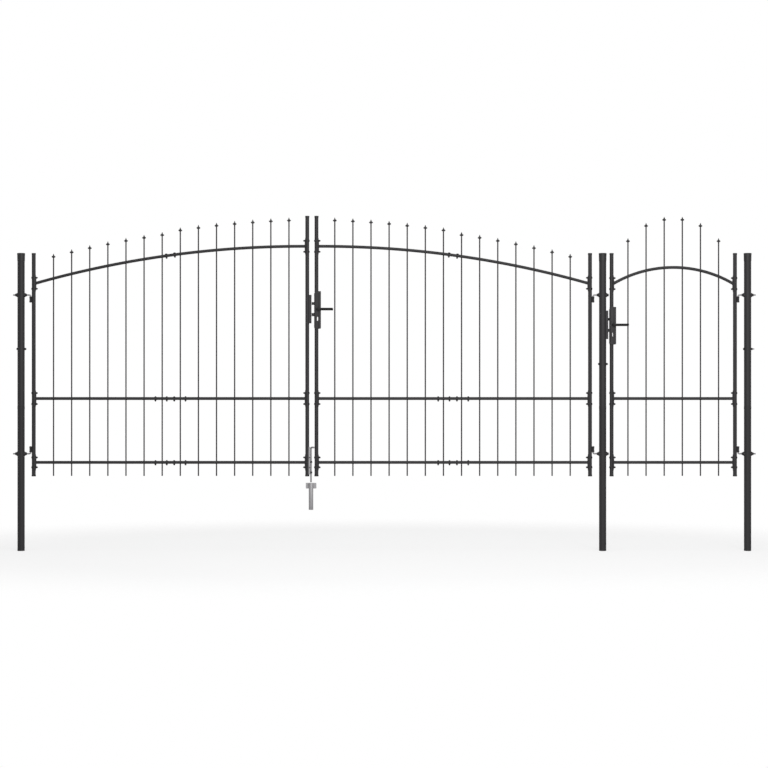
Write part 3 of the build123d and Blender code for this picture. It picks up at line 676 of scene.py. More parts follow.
class Graph:
    """A node tree that is written as expressions."""

    def __init__(self, tree):
        self.tree = tree
        tree.nodes.clear()

    def node(self, kind, settings=None, sockets=None):
        """Add a node: its settings first, then the values or links of its sockets."""
        made = self.tree.nodes.new(kind)
        for name, value in (settings or {}).items():
            setattr(made, name, value)
        for name, value in (sockets or {}).items():
            if isinstance(value, Field):
                self.tree.links.new(value.socket, made.inputs[name])
            else:
                made.inputs[name].default_value = value
        return made

    def field(self, kind, settings=None, sockets=None, output=0):
        """Add a node and take one of its outputs."""
        return Field(self, self.node(kind, settings, sockets).outputs[output])

    def sum(self, operation, first, second):
        """A Math node."""
        return self.field("ShaderNodeMath", {"operation": operation}, {0: first, 1: second})

    def mix(self, amount, first, second):
        """Blend two colours, which go into sockets 6 and 7 of a Mix node."""
        sockets = {0: amount, 6: (*first, 1.0), 7: (*second, 1.0)}
        return self.field("ShaderNodeMix", {"data_type": "RGBA"}, sockets, output=2)

    def place(self, kind="Object"):
        """Where a point lies on its object."""
        return self.field("ShaderNodeTexCoord", output=kind)

    def ramp(self, value, start, end):
        """A smooth rise from nothing at the start to all at the end."""
        sockets = {"Value": value, "From Min": start, "From Max": end}
        return self.field("ShaderNodeMapRange", {"interpolation_type": "SMOOTHSTEP"}, sockets)

    def noise(self, place, size, detail=2.0):
        """Soft noise with features of about this size."""
        sockets = {"Vector": place, "Scale": 1.0 / size, "Detail": detail}
        return self.field("ShaderNodeTexNoise", None, sockets)

    def surface(self, sockets, height, depth, strength):
        """A principled surface with a bump, joined to the output."""
        relief = {"Height": height, "Distance": depth, "Strength": strength}
        bump = self.field("ShaderNodeBump", None, relief, output="Normal")
        shader = self.field("ShaderNodeBsdfPrincipled", None, {**sockets, "Normal": bump})
        self.node("ShaderNodeOutputMaterial", None, {"Surface": shader})


def material_graph(name):
    """A new material's tree."""
    material = bpy.data.materials.new(name)
    material.use_nodes = True
    return Graph(material.node_tree)


class GATE_OT_finishes(bpy.types.Operator):
    """Make the finishes and put them on the solids that stay in view"""

    bl_idname = "gate.finishes"
    bl_label = "Finishes"

    def execute(self, context):
        finish = context.scene.gate_finish
        self.coat(finish)
        self.plastic(finish)
        self.lever(finish)
        self.zinc(finish)
        for row in frame["record"]["subparts"]:
            mesh = frame["nodes"][row["node"]].data
            mesh.materials.clear()
            mesh.materials.append(bpy.data.materials[FINISHES[row["material_slot"]]])
        for node in ("double_lever", "walk_lever"):
            frame["nodes"][node].data.materials[0] = bpy.data.materials[LEVER_FINISH]
        for node in SOFT_NODES:
            self.soften(frame["nodes"][node], context.scene.gate_fasteners.soft_edge)
        return {"FINISHED"}

    def soften(self, solid, edge):
        """Round the sharp edges of a solid that stays in view."""
        weld = solid.modifiers.new("join", "WELD")
        weld.merge_threshold = edge / 100
        bevel = solid.modifiers.new("soft_edges", "BEVEL")
        bevel.width = edge
        bevel.segments = 2
        bevel.limit_method = "ANGLE"
        bevel.angle_limit = SHARP_ANGLE
        bevel.harden_normals = True

    def coat(self, finish):
        """Powder coat: faint clouds, orange peel, a satin sheen that varies a little."""
        graph = material_graph(FINISHES[COAT])
        place = graph.place()
        cloud = graph.noise(place, finish.coat_cloud, 4.0)
        peel = graph.noise(place, finish.grain)
        speck = graph.noise(place, finish.grain / 4)
        graph.surface({
            "Base Color": graph.mix(0.6 * cloud + 0.4 * speck, finish.coat_dark, finish.coat_light),
            "Roughness": finish.coat_rough + 0.16 * (cloud - 0.5) + 0.1 * (speck - 0.5),
            "Specular IOR Level": finish.coat_sheen,
        }, 0.75 * peel + 0.25 * speck, finish.bump, 0.5)

    def plastic(self, finish):
        """Moulded plastic: a fine even grain."""
        graph = material_graph(FINISHES[PLASTIC])
        place = graph.place()
        cloud = graph.noise(place, finish.plastic_cloud, 3.0)
        grain = graph.noise(place, finish.grain / 3)
        graph.surface({
            "Base Color": graph.mix(0.5 * cloud + 0.5 * grain, finish.plastic_dark, finish.plastic_light),
            "Roughness": finish.plastic_rough + 0.2 * (grain - 0.5),
            "Specular IOR Level": finish.plastic_sheen,
        }, grain, finish.bump, 0.4)

    def lever(self, finish):
        """Levers: a hub painted as pale as the lock, which is painted light, and a smooth black grip, darker than
        the plastic through painted shade, that hands have polished in patches.
        """
        # Both levers are alike, and Generated runs from 0 to 1 over a lever
        low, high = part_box("double_lever")
        case_edge = (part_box("double_lock_case")[1].x - low.x) / (high.x - low.x)
        graph = material_graph(LEVER_FINISH)
        sockets = {"Vector": graph.place("Generated")}
        along = graph.field("ShaderNodeSeparateXYZ", None, sockets, output="X")
        hub = graph.ramp(along, case_edge, 0.8 * case_edge)
        place = graph.place()
        worn = graph.noise(place, finish.lever_wear, 4.0)
        grain = graph.noise(place, finish.grain / 3)
        # Painted light on the hub and painted shade on the grip, with the real wear of the polished patches mixed
        # in
        pale = hub * (0.3 + 0.5 * worn + 0.2 * grain) + 0.1 * worn * (1.0 - hub)
        graph.surface({
            "Base Color": graph.mix(pale, finish.lever_grip_painted_shade, finish.lever_hub_painted_light),
            "Roughness": finish.plastic_rough - 0.3 * (worn - 0.5) + 0.1 * (grain - 0.5),
            "Specular IOR Level": finish.lever_sheen,
        }, grain, finish.bump, 0.2)

    def zinc(self, finish):
        """Dull zinc: crystals of slightly different grey under fine scratches."""
        graph = material_graph(FINISHES[ZINC])
        place = graph.place()
        sockets = {"Vector": place, "Scale": 1.0 / finish.zinc_crystal}
        crystal = graph.field("ShaderNodeTexVoronoi", None, sockets, output="Color")
        crystal = graph.field("ShaderNodeRGBToBW", None, {"Color": crystal})
        cloud = graph.noise(place, finish.zinc_cloud, 4.0)
        grain = graph.noise(place, finish.grain / 3)
        graph.surface({
            "Base Color": graph.mix(0.45 * crystal + 0.55 * cloud, finish.zinc_dark, finish.zinc_light),
            "Roughness": finish.zinc_rough + 0.12 * (crystal - 0.5) + 0.14 * (cloud - 0.5),
            "Metallic": finish.zinc_metal,
        }, grain, finish.bump, 0.3)


class GATE_OT_posts(bpy.types.Operator):
    """Draw the two tubes of each post and its cap"""

    bl_idname = "gate.posts"
    bl_label = "Posts and caps"

    def execute(self, context):
        posts = context.scene.gate_posts
        bore = POST_RADIUS - posts.wall
        edge = posts.edge
        belled = span("left_post_lower").x / 2
        bell = POST_SEAM - posts.bell_height
        for post in POSTS:
            foot = at(POST_X[post], 0.0)
            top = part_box(f"{post}_post_upper")[1].z
            skin = Skin()
            skin.lathe(foot, UP, [
                (0.0, POST_RADIUS - edge), (edge, POST_RADIUS), (bell - posts.bell_run, POST_RADIUS),
                (bell, belled), (POST_SEAM - edge, belled), (POST_SEAM, belled - edge), (POST_SEAM, bore),
                (posts.foot_thickness, bore),
            ], POST_SIDES)
            start = POST_SEAM + posts.seam
            skin.lathe(foot, UP, [
                (start, bore), (start, POST_RADIUS - edge), (start + edge, POST_RADIUS),
                (top, POST_RADIUS), (top, bore),
            ], POST_SIDES, looped=True)
            skin.piece(f"{post}_post_tubes", "posts", COAT, f"{post}_post_lower", f"{post}_post_upper")
            self.cap(posts, post)
        return {"FINISHED"}

    def cap(self, posts, post):
        """A moulded cap: thick rim with a rounded crown, and a skirt that narrows to a thin lip."""
        low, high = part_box(f"{post}_post_cap")
        rim = (high.x - low.x) / 2
        bore = POST_RADIUS + posts.cap_fit
        lip = bore + posts.cap_lip_wall
        crown = posts.cap_crown
        under_rim = high.z - posts.cap_rim_height
        profile = [
            (high.z - crown, bore), (low.z, bore), (low.z, lip - posts.edge), (low.z + posts.edge, lip),
            (under_rim - posts.cap_rim_step, rim - posts.cap_rim_step), (under_rim, rim - posts.cap_rim_step),
            (under_rim + posts.edge, rim),
        ]
        for turn in spaced(0.0, pi / 2, ARC_STEPS):
            profile.append((high.z - crown + crown * sin(turn), rim - crown + crown * cos(turn)))
        skin = Skin()
        skin.lathe(at(POST_X[post], 0.0), UP, profile, POST_SIDES)
        skin.piece(f"{post}_post_cap_moulded", "posts", PLASTIC, f"{post}_post_cap")


class GATE_OT_hooks(bpy.types.Operator):
    """Draw the threaded hook bolts with their saddle washers and nuts"""

    bl_idname = "gate.hooks"
    bl_label = "Hook bolts"

    def execute(self, context):
        hinges = context.scene.gate_hinges
        low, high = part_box("hinge_hooks")
        hooks = Skin()
        nuts = Skin()
        tails = {
            "left": (low.x, PIN_X["left"]),
            "middle": (POST_X["middle"] + hinges.middle_tail, PIN_X["right"]),
            "right": (high.x, PIN_X["walk"]),
        }
        for post, (tail_x, pin_x) in tails.items():
            for hook_z, upright in hook_heights(hinges):
                self.hook(hooks, hinges, POST_X[post], tail_x, pin_x, hook_z, upright)
                for side in (-1, 1):
                    self.washer_and_nut(nuts, hinges, at(POST_X[post], hook_z), RIGHT * side)
        hooks.piece("hook_bolts", "posts", ZINC, "hinge_hooks")
        nuts.piece("hook_washers_and_nuts", "posts", COAT, "hook_nuts")
        return {"FINISHED"}

    def hook(self, skin, hinges, post_x, tail_x, pin_x, hook_z, upright):
        """One bolt, threaded up to its bend, bent into the pin of a barrel."""
        toward = 1 if pin_x > tail_x else -1
        bend = hinges.hook_bend
        clamp = POST_RADIUS + hinges.washer_length + hinges.nut_height
        step = hinges.thread_pitch / 5
        bend_x = pin_x - toward * bend
        stretches = ((tail_x, post_x - toward * clamp), (post_x + toward * clamp, bend_x))
        path = []
        for start_x, end_x in stretches:
            path += [at(x, hook_z) for x in spaced(start_x, end_x, round(abs(end_x - start_x) / step))]
        for turn in spaced(0.0, pi / 2, 2 * ARC_STEPS)[1:]:
            path.append(at(bend_x + toward * bend * sin(turn), hook_z + upright * bend * (1 - cos(turn))))
        pin_end = hook_z + upright * (bend + hinges.barrel_gap + hinges.barrel_length + hinges.pin_proud)
        path += [at(pin_x, pin_end - upright * hinges.hook_end), at(pin_x, pin_end)]
        thread = threaded(hinges.hook_radius, hinges.thread_pitch, hinges.thread_depth, abs(bend_x - tail_x))
        skin.rod(path, thread, chamfer=hinges.hook_end)

    def washer_and_nut(self, skin, hinges, place, axis):
        """A saddle washer against the post, and the nut on it."""
        seat = POST_RADIUS + hinges.washer_length
        shoulder = hinges.washer_length / 4
        skin.lathe(place, axis, [
            (POST_RADIUS - hinges.washer_saddle, hinges.washer_radius),
            (POST_RADIUS + shoulder, hinges.washer_radius),
            (POST_RADIUS + 2 * shoulder, 0.94 * hinges.washer_radius),
            (seat - shoulder / 4, hinges.washer_nose),
            (seat, 0.96 * hinges.washer_nose),
        ], TUBE_SIDES)
        skin.nut(place + axis * seat, axis, hinges.nut_flats, hinges.nut_height)


class GATE_OT_stiles(bpy.types.Operator):
    """Draw the stiles with their welded barrels and moulded caps"""

    bl_idname = "gate.stiles"
    bl_label = "Stiles and barrels"

    def execute(self, context):
        bars = context.scene.gate_bars
        hinges = context.scene.gate_hinges
        for leaf, stiles in LEAF_STILES.items():
            tubes = Skin()
            caps = Skin()
            for node, stile_x in stiles.items():
                low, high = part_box(node)
                runs = [(low.z, high.z)]
                if node in CASE_IN_STILE:
                    case_low, case_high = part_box(CASE_IN_STILE[node])
                    runs = [(low.z, case_low.z), (case_high.z, high.z)]
                foot = at(stile_x, 0.0)
                for start, end in runs:
                    self.tube(tubes, bars, foot, start, end)
                self.cap(caps, bars, foot + UP * (high.z + bars.cap_crown), UP)
                self.cap(caps, bars, foot + UP * (low.z - bars.cap_crown), -UP)
            self.barrels(tubes, hinges, stiles[f"{leaf}_hinge_stile"], PIN_X[leaf])
            tubes.piece(f"{leaf}_stile_tubes", f"{leaf}_leaf", COAT, *stiles)
            caps.piece(f"{leaf}_stile_caps_moulded", f"{leaf}_leaf", PLASTIC, f"{leaf}_stile_caps")
        return {"FINISHED"}

    def tube(self, skin, bars, foot, start, end):
        """A length of stile."""
        bore = STILE_RADIUS - bars.stile_wall
        skin.lathe(foot, UP, [(start, bore), (start, STILE_RADIUS), (end, STILE_RADIUS), (end, bore)],
                   TUBE_SIDES, looped=True)

    def cap(self, skin, bars, place, axis):
        """A cup pushed over a tube's end."""
        bore = STILE_RADIUS + bars.cap_fit
        rim = bore + bars.cap_wall
        edge = bars.cap_wall / 3
        profile = [
            (-bars.cap_crown, bore), (-bars.cap_height, bore), (-bars.cap_height, rim - edge),
            (edge - bars.cap_height, rim),
        ]
        for turn in spaced(0.0, pi / 2, ARC_STEPS):
            profile.append((bars.cap_round * (sin(turn) - 1), rim - bars.cap_round * (1 - cos(turn))))
        skin.lathe(place, axis, profile, TUBE_SIDES)

    def barrels(self, skin, hinges, stile_x, pin_x):
        """Two waisted barrels, and the weld beads in the grooves between them and the stile."""
        bore = hinges.hook_radius + hinges.barrel_fit
        edge = hinges.barrel_edge
        toward = 1 if pin_x > stile_x else -1
        groove_x = stile_x + toward * 0.985 * STILE_RADIUS
        groove_y = 0.57 * hinges.barrel_radius
        for hook_z, upright in hook_heights(hinges):
            start = hook_z + upright * (hinges.hook_bend + hinges.barrel_gap)
            profile = [(0.0, bore), (0.0, hinges.barrel_radius - edge)]
            for along in spaced(edge, hinges.barrel_length - edge, 2 * ARC_STEPS + 1):
                bulge = 1 - sin(pi * along / hinges.barrel_length) ** 2
                radius = hinges.barrel_waist + (hinges.barrel_radius - hinges.barrel_waist) * bulge
                profile.append((along, radius))
            profile.append((hinges.barrel_length, hinges.barrel_radius - edge))
            profile.append((hinges.barrel_length, bore))
            skin.lathe(at(pin_x, start), UP * upright, profile, TUBE_SIDES, looped=True)
            ends = (start + upright * 2 * edge, start + upright * (hinges.barrel_length - 2 * edge))
            for side in (-1, 1):
                path = [Vector((groove_x, side * groove_y, z)) for z in spaced(*ends, NUT_SIDES)]
                skin.bead(path, hinges.bead_radius, hinges.bead_ripple)


class GATE_OT_panels(bpy.types.Operator):
    """Draw the welded panels: rails, spear-topped pickets and saddle brackets"""

    bl_idname = "gate.panels"
    bl_label = "Panels"

    def execute(self, context):
        bars = context.scene.gate_bars
        for panel in gate_panels(bars):
            skin = Skin()
            self.rails(skin, bars, panel)
            for x, tip in panel.pickets:
                self.picket(skin, bars, panel.arch, x, tip)
            for stile_x, facing in panel.stiles:
                self.brackets(skin, bars, panel.arch, stile_x, facing)
            skin.piece(f"{panel.node}_bars", panel.body, COAT, panel.node)
        return {"FINISHED"}

    def rails(self, skin, bars, panel):
        """Low, middle and arched rail, with the sleeves of a splice."""
        # A rail starts inside its stile, this far from the stile's axis
        inside = 0.6 * STILE_RADIUS
        stile_places = [stile_x for stile_x, _ in panel.stiles]
        start, end = panel.ends
        start += inside if start in stile_places else 0.0
        end -= inside if end in stile_places else 0.0
        full = even(bars.rail_radius)
        for z in level_rails(bars):
            skin.rod([at(start, z), at(end, z)], full, RAIL_SIDES)
        skin.rod([at(x, panel.arch.height(x)) for x in spaced(start, end, ARCH_STEPS)], full, RAIL_SIDES)
        if panel.splice is not None:
            slim = even(bars.sleeve_radius)
            ends = [panel.splice + side * bars.sleeve_reach for side in (-1, 1)]
            for z in level_rails(bars):
                skin.rod([at(x, z) for x in ends], slim)
            skin.rod([at(x, panel.arch.height(x)) for x in ends], slim)

    def picket(self, skin, bars, arch, x, tip):
        """A round bar through the rails, welded at each, with its spear point."""
        foot = LEAF_BOTTOM + bars.picket_gap
        edge = bars.picket_radius / 5
        root = tip - bars.spear_length
        place = at(x, 0.0)
        skin.lathe(place, UP, [
            (foot, bars.picket_radius - edge), (foot + edge, bars.picket_radius),
            (root + edge, bars.picket_radius),
        ])
        self.spear(skin, bars, place, tip)
        for z, lean in rails_at(bars, arch, x):
            carrier = bars.rail_radius * sqrt(1 + lean**2)
            for side in (1, -1):
                skin.collar(at(x, z), UP * side, RIGHT, carrier, bars.picket_radius, bars.weld, side * lean)

    def spear(self, skin, bars, place, tip):
        """Hollow-sided blade, two ears and a skirt that runs back into the bar."""
        bar = bars.picket_radius
        # Way down from the tip, half width and half depth, each as a share of the whole
        spear_shares = (
            (0.0, 0.04, 0.16), (0.065, 0.11, 0.3), (0.195, 0.23, 0.5), (0.355, 0.35, 0.72),
            (0.45, 0.455, 0.86), (0.515, 0.67, 0.95), (0.56, 0.88, 0.99), (0.62, 0.98, 1.0),
            (0.685, 1.0, 1.0), (0.74, 0.98, 1.0), (0.795, 0.85, 0.99), (0.84, 0.64, 0.97),
            (0.885, 0.455, 0.94), (0.94, 0.35, 0.9),
        )
        rings = []
        for down, wide, deep in spear_shares:
            half_wide = wide * bars.spear_half_width
            half_deep = deep * bars.spear_half_depth
            rings.append(self.oval(place, tip - down * bars.spear_length, half_wide, half_deep))
        rings.append(self.oval(place, tip - bars.spear_length, bar, bar))
        skin.rings(rings)

    def oval(self, place, z, half_wide, half_deep):
        """A ring between an oval and a diamond."""
        curve = 1.25
        pinch = 0.35
        ring = []
        for turn in turns(BAR_SIDES):
            pull = (abs(cos(turn)) ** curve + abs(sin(turn)) ** curve) ** -pinch
            ring.append(place + Vector((pull * half_wide * cos(turn), pull * half_deep * sin(turn), z)))
        return ring

    def brackets(self, skin, bars, arch, stile_x, facing):
        """The saddle brackets of one stile and the welds of the rails in them."""
        seat = STILE_RADIUS + bars.bracket_fit
        half = bars.bracket_half_height
        outer = seat + bars.bracket_thickness
        sweep = spaced(-bars.bracket_wrap, bars.bracket_wrap, RAIL_SIDES)
        # Distance from a bracket's end and thickness there, up to the full thickness
        slope = (
            (0.0, 0.4 * bars.bracket_lip), (bars.bracket_lip, bars.bracket_lip),
            (0.55 * bars.bracket_taper, 0.62 * bars.bracket_thickness),
            (bars.bracket_taper, bars.bracket_thickness),
        )
        profile = [(inset - half, thickness) for inset, thickness in slope]
        profile += [(half - inset, thickness) for inset, thickness in reversed(slope)]
        for z, lean in rails_at(bars, arch, stile_x + facing * STILE_RADIUS):
            rings = []
            for along, thickness in profile:
                ring = [(seat + thickness, turn) for turn in sweep]
                ring += [(seat, turn) for turn in reversed(sweep)]
                rings.append([
                    Vector((stile_x + facing * radius * cos(turn), radius * sin(turn), z + along))
                    for radius, turn in ring
                ])
            skin.rings(rings)
            weld = at(stile_x, z + facing * lean * (outer - STILE_RADIUS))
            stretch = sqrt(1 + lean**2)
            skin.collar(weld, RIGHT * facing, UP, outer, bars.rail_radius, bars.rail_weld, stretch=stretch)


class GATE_OT_bolts(bpy.types.Operator):
    """Draw the bolts of the brackets, the splices and the posts"""

    bl_idname = "gate.bolts"
    bl_label = "Bolts and nuts"

    def execute(self, context):
        bars = context.scene.gate_bars
        bolts = context.scene.gate_fasteners
        skins = {leaf: Skin() for leaf in LEAF_STILES}
        low_z = level_rails(bars)[0]
        for panel in gate_panels(bars):
            skin = skins[panel.body.removesuffix("_leaf")]
            for stile_x, facing in panel.stiles:
                axis = RIGHT * facing
                outside = axis * bolts.stile_seat * STILE_RADIUS
                for rail_z, _ in rails_at(bars, panel.arch, stile_x + facing * STILE_RADIUS):
                    pitch = bolts.low_bracket_pitch if rail_z == low_z else bolts.bracket_pitch
                    for side in (-1, 1):
                        place = at(stile_x, rail_z + side * pitch)
                        self.cap_nut(skin, bolts, place + axis * self.bracket_seat(bars, pitch), axis)
                        # The ears of the drop bolt's plate have heads of their own
                        if stile_x != LEFT_MEETING_X or rail_z != low_z:
                            skin.dome(place - outside, -axis, bolts.head_radius, bolts.head_height)
            if panel.splice is not None:
                self.splice(skin, bars, bolts, panel)
        for leaf, skin in skins.items():
            skin.piece(f"{leaf}_leaf_bolts", f"{leaf}_leaf", COAT)
        self.post_bolts(bolts)
        return {"FINISHED"}

    def bracket_seat(self, bars, along):
        """Outside of a bracket at this distance from its rail, from the stile's axis."""
        ramp = (bars.bracket_half_height - along) / bars.bracket_taper
        lift = bars.bracket_lip + (bars.bracket_thickness - bars.bracket_lip) * min(1.0, ramp)
        return STILE_RADIUS + bars.bracket_fit + lift - bars.bracket_lip

    def cap_nut(self, skin, bolts, place, axis):
        """A washer and a domed nut."""
        skin.washer(place, axis, bolts.washer_radius, bolts.washer_thickness)
        place = place + axis * bolts.washer_thickness
        skin.nut(place, axis, bolts.cap_nut_flats, bolts.cap_nut_base)
        dome_radius = 0.44 * bolts.cap_nut_flats
        skin.dome(place + axis * bolts.sunk * bolts.cap_nut_base, axis, dome_radius, bolts.cap_nut_dome)

    def washer_and_head(self, skin, bolts, place, axis, washer, head):
        """A washer and a round head on it, each as a radius and a height."""
        skin.washer(place, axis, *washer)
        skin.dome(place + axis * bolts.sunk * washer[1], axis, *head)

    def splice(self, skin, bars, bolts, panel):
        """Upright bolts through the two ends and the sleeve of each rail."""
        spots = []
        for z in level_rails(bars):
            for offset in (bolts.splice_near, bolts.splice_far):
                spots += [(panel.splice + side * offset, z, UP, bolts.washer_radius) for side in (-1, 1)]
        for side in (-1, 1):
            x = panel.splice + side * bolts.arch_splice
            square = at(-panel.arch.lean(x), 1.0).normalized()
            spots.append((x, panel.arch.height(x), square, bolts.arch_washer_radius))
        for x, z, axis, radius in spots:
            outside = axis * bolts.rail_seat * bars.rail_radius
            washer = (radius, bolts.washer_thickness)
            head = (0.9 * radius, bolts.splice_head_height)
            self.washer_and_head(skin, bolts, at(x, z) + outside, axis, washer, head)
            self.cap_nut(skin, bolts, at(x, z) - outside, -axis)

    def post_bolts(self, bolts):
        """A cross bolt through each post: a dome on one side, a nut and a bolt end on the other."""
        heads = Skin()
        ends = Skin()
        heights = {
            "left": bolts.outer_post_bolt, "middle": bolts.middle_post_bolt, "right": bolts.outer_post_bolt,
        }
        washer = (bolts.post_washer_radius, bolts.post_washer_thickness)
        head = (bolts.head_radius, bolts.post_head_height)
        pitch = bolts.post_thread_pitch
        thread = threaded(bolts.post_bolt_radius, pitch, bolts.post_thread_depth, bolts.post_bolt_reach)
        outside = RIGHT * bolts.post_seat * POST_RADIUS
        for post, height in heights.items():
            place = at(POST_X[post], height)
            self.washer_and_head(heads, bolts, place - outside, -RIGHT, washer, head)
            heads.washer(place + outside, RIGHT, *washer)
            nut = place + outside + RIGHT * bolts.post_washer_thickness
            heads.nut(nut, RIGHT, bolts.post_nut_flats, bolts.post_nut_height)
            reach = bolts.post_bolt_reach if post == "right" else POST_RADIUS + bolts.post_bolt_stub
            path = [at(x, height) for x in spaced(nut.x, POST_X[post] + reach, THREAD_STEPS)]
            ends.rod(path, thread, chamfer=pitch / 2)
        heads.piece("post_bolt_heads", "posts", COAT)
        ends.piece("post_bolt_ends", "posts", ZINC)


class GATE_OT_locks(bpy.types.Operator):
    """Draw the screws, rims and welds of the locks and their keeps"""

    bl_idname = "gate.locks"
    bl_label = "Locks and keeps"

    def execute(self, context):
        bolts = context.scene.gate_fasteners
        locks = (
            ("double", "right_leaf", "left_leaf", RIGHT_MEETING_X),
            ("walk", "walk_leaf", "posts", WALK_LOCK_X),
        )
        for gate, leaf, keeper, stile_x in locks:
            rims = Skin()
            self.keyhole_rims(rims, bolts, gate)
            self.stile_welds(rims, bolts, gate, stile_x)
            rims.piece(f"{gate}_lock_rims", leaf, COAT)
            screws = Skin()
            self.case_screws(screws, bolts, gate)
            screws.piece(f"{gate}_lock_screws", leaf, COAT)
            screws = Skin()
            self.plate_screws(screws, bolts, f"{gate}_keep", RIGHT)
            screws.piece(f"{gate}_keep_screws", keeper, ZINC)
        return {"FINISHED"}

    def keyhole_rims(self, skin, bolts, gate):
        """A rolled rim round the keyhole on both faces of the case."""
        spindle = joint_place(f"{gate}_lever_turn")
        straight = bolts.keyhole_half_height - bolts.keyhole_half_width
        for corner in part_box(f"{gate}_lock_case"):
            path = []
            for turn in turns(2 * NUT_SIDES):
                lift = straight if sin(turn) >= 0 else -straight
                path.append(Vector((
                    spindle.x + bolts.keyhole_half_width * cos(turn), corner.y,
                    spindle.z - bolts.keyhole_drop + lift + bolts.keyhole_half_width * sin(turn),
                )))
            skin.rod(path, even(bolts.rim_radius), looped=True)

    def stile_welds(self, skin, bolts, gate, stile_x):
        """A bead round the stile above and below the case."""
        low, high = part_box(f"{gate}_lock_case")
        for z in (low.z, high.z):
            path = []
            for turn in turns(3 * NUT_SIDES):
                path.append(Vector((stile_x + STILE_RADIUS * cos(turn), STILE_RADIUS * sin(turn), z)))
            skin.bead(path, bolts.case_weld, 2 * pi * STILE_RADIUS / NUT_SIDES, looped=True)

    def case_screws(self, skin, bolts, gate):
        """Two screws in the forend, and two on each face of the case beside the latch."""
        self.plate_screws(skin, bolts, f"{gate}_lock_forend", -RIGHT)
        low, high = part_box(f"{gate}_lock_case")
        x = low.x + bolts.case_screw_inset
        latch_z = middle(f"{gate}_latch").z
        for z in (latch_z - bolts.case_screw_pitch, latch_z + bolts.case_screw_pitch):
            for y, axis in ((low.y, FRONT), (high.y, -FRONT)):
                skin.dome(Vector((x, y, z)), axis, bolts.screw_radius, bolts.screw_height)

    def plate_screws(self, skin, bolts, node, axis):
        """A screw near each end of an upright plate, on the side that the axis points to."""
        low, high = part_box(node)
        x = high.x if axis.x > 0 else low.x
        for z in (low.z + bolts.screw_inset, high.z - bolts.screw_inset):
            skin.dome(at(x, z), axis, bolts.screw_radius, bolts.screw_height)


class GATE_OT_drop_bolt(bpy.types.Operator):
    """Draw the clamp ears of the drop bolt's plate and the welds of its socket"""

    bl_idname = "gate.drop_bolt"
    bl_label = "Drop bolt and socket"

    def execute(self, context):
        bars = context.scene.gate_bars
        drop = context.scene.gate_drop_bolt
        hinges = context.scene.gate_hinges
        bolts = context.scene.gate_fasteners
        ears = Skin()
        heads = Skin()
        half_wide = drop.ear_reach / 2
        half_high = drop.ear_height / 2
        ear_x = LEFT_MEETING_X + STILE_RADIUS + half_wide
        ear_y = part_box("drop_bolt_plate")[0].y + drop.ear_thickness / 2
        for side in (-1, 1):
            place = Vector((ear_x, ear_y, level_rails(bars)[0] + side * bolts.low_bracket_pitch))
            ears.slab(place, RIGHT, UP, half_wide, half_high, drop.ear_thickness, drop.ear_corner)
            seat = place + FRONT * bolts.sunk * drop.ear_thickness
            heads.dome(seat, FRONT, drop.ear_head, bolts.screw_height)
        ears.piece("drop_plate_ears", "left_leaf", ZINC)
        heads.piece("drop_plate_heads", "left_leaf", COAT)
        welds = Skin()
        low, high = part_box("ground_socket")
        plate_y = high.y - drop.socket_plate_thickness
        seam_out = sqrt(low.y**2 - plate_y**2)
        heights = spaced(high.z - drop.socket_plate_height, high.z, NUT_SIDES)
        for side in (-1, 1):
            seam_x = middle("ground_socket").x + side * seam_out
            path = [Vector((seam_x, plate_y, z)) for z in heights]
            welds.bead(path, hinges.bead_radius, hinges.bead_ripple)
        welds.piece("socket_welds", "posts", ZINC)
        return {"FINISHED"}


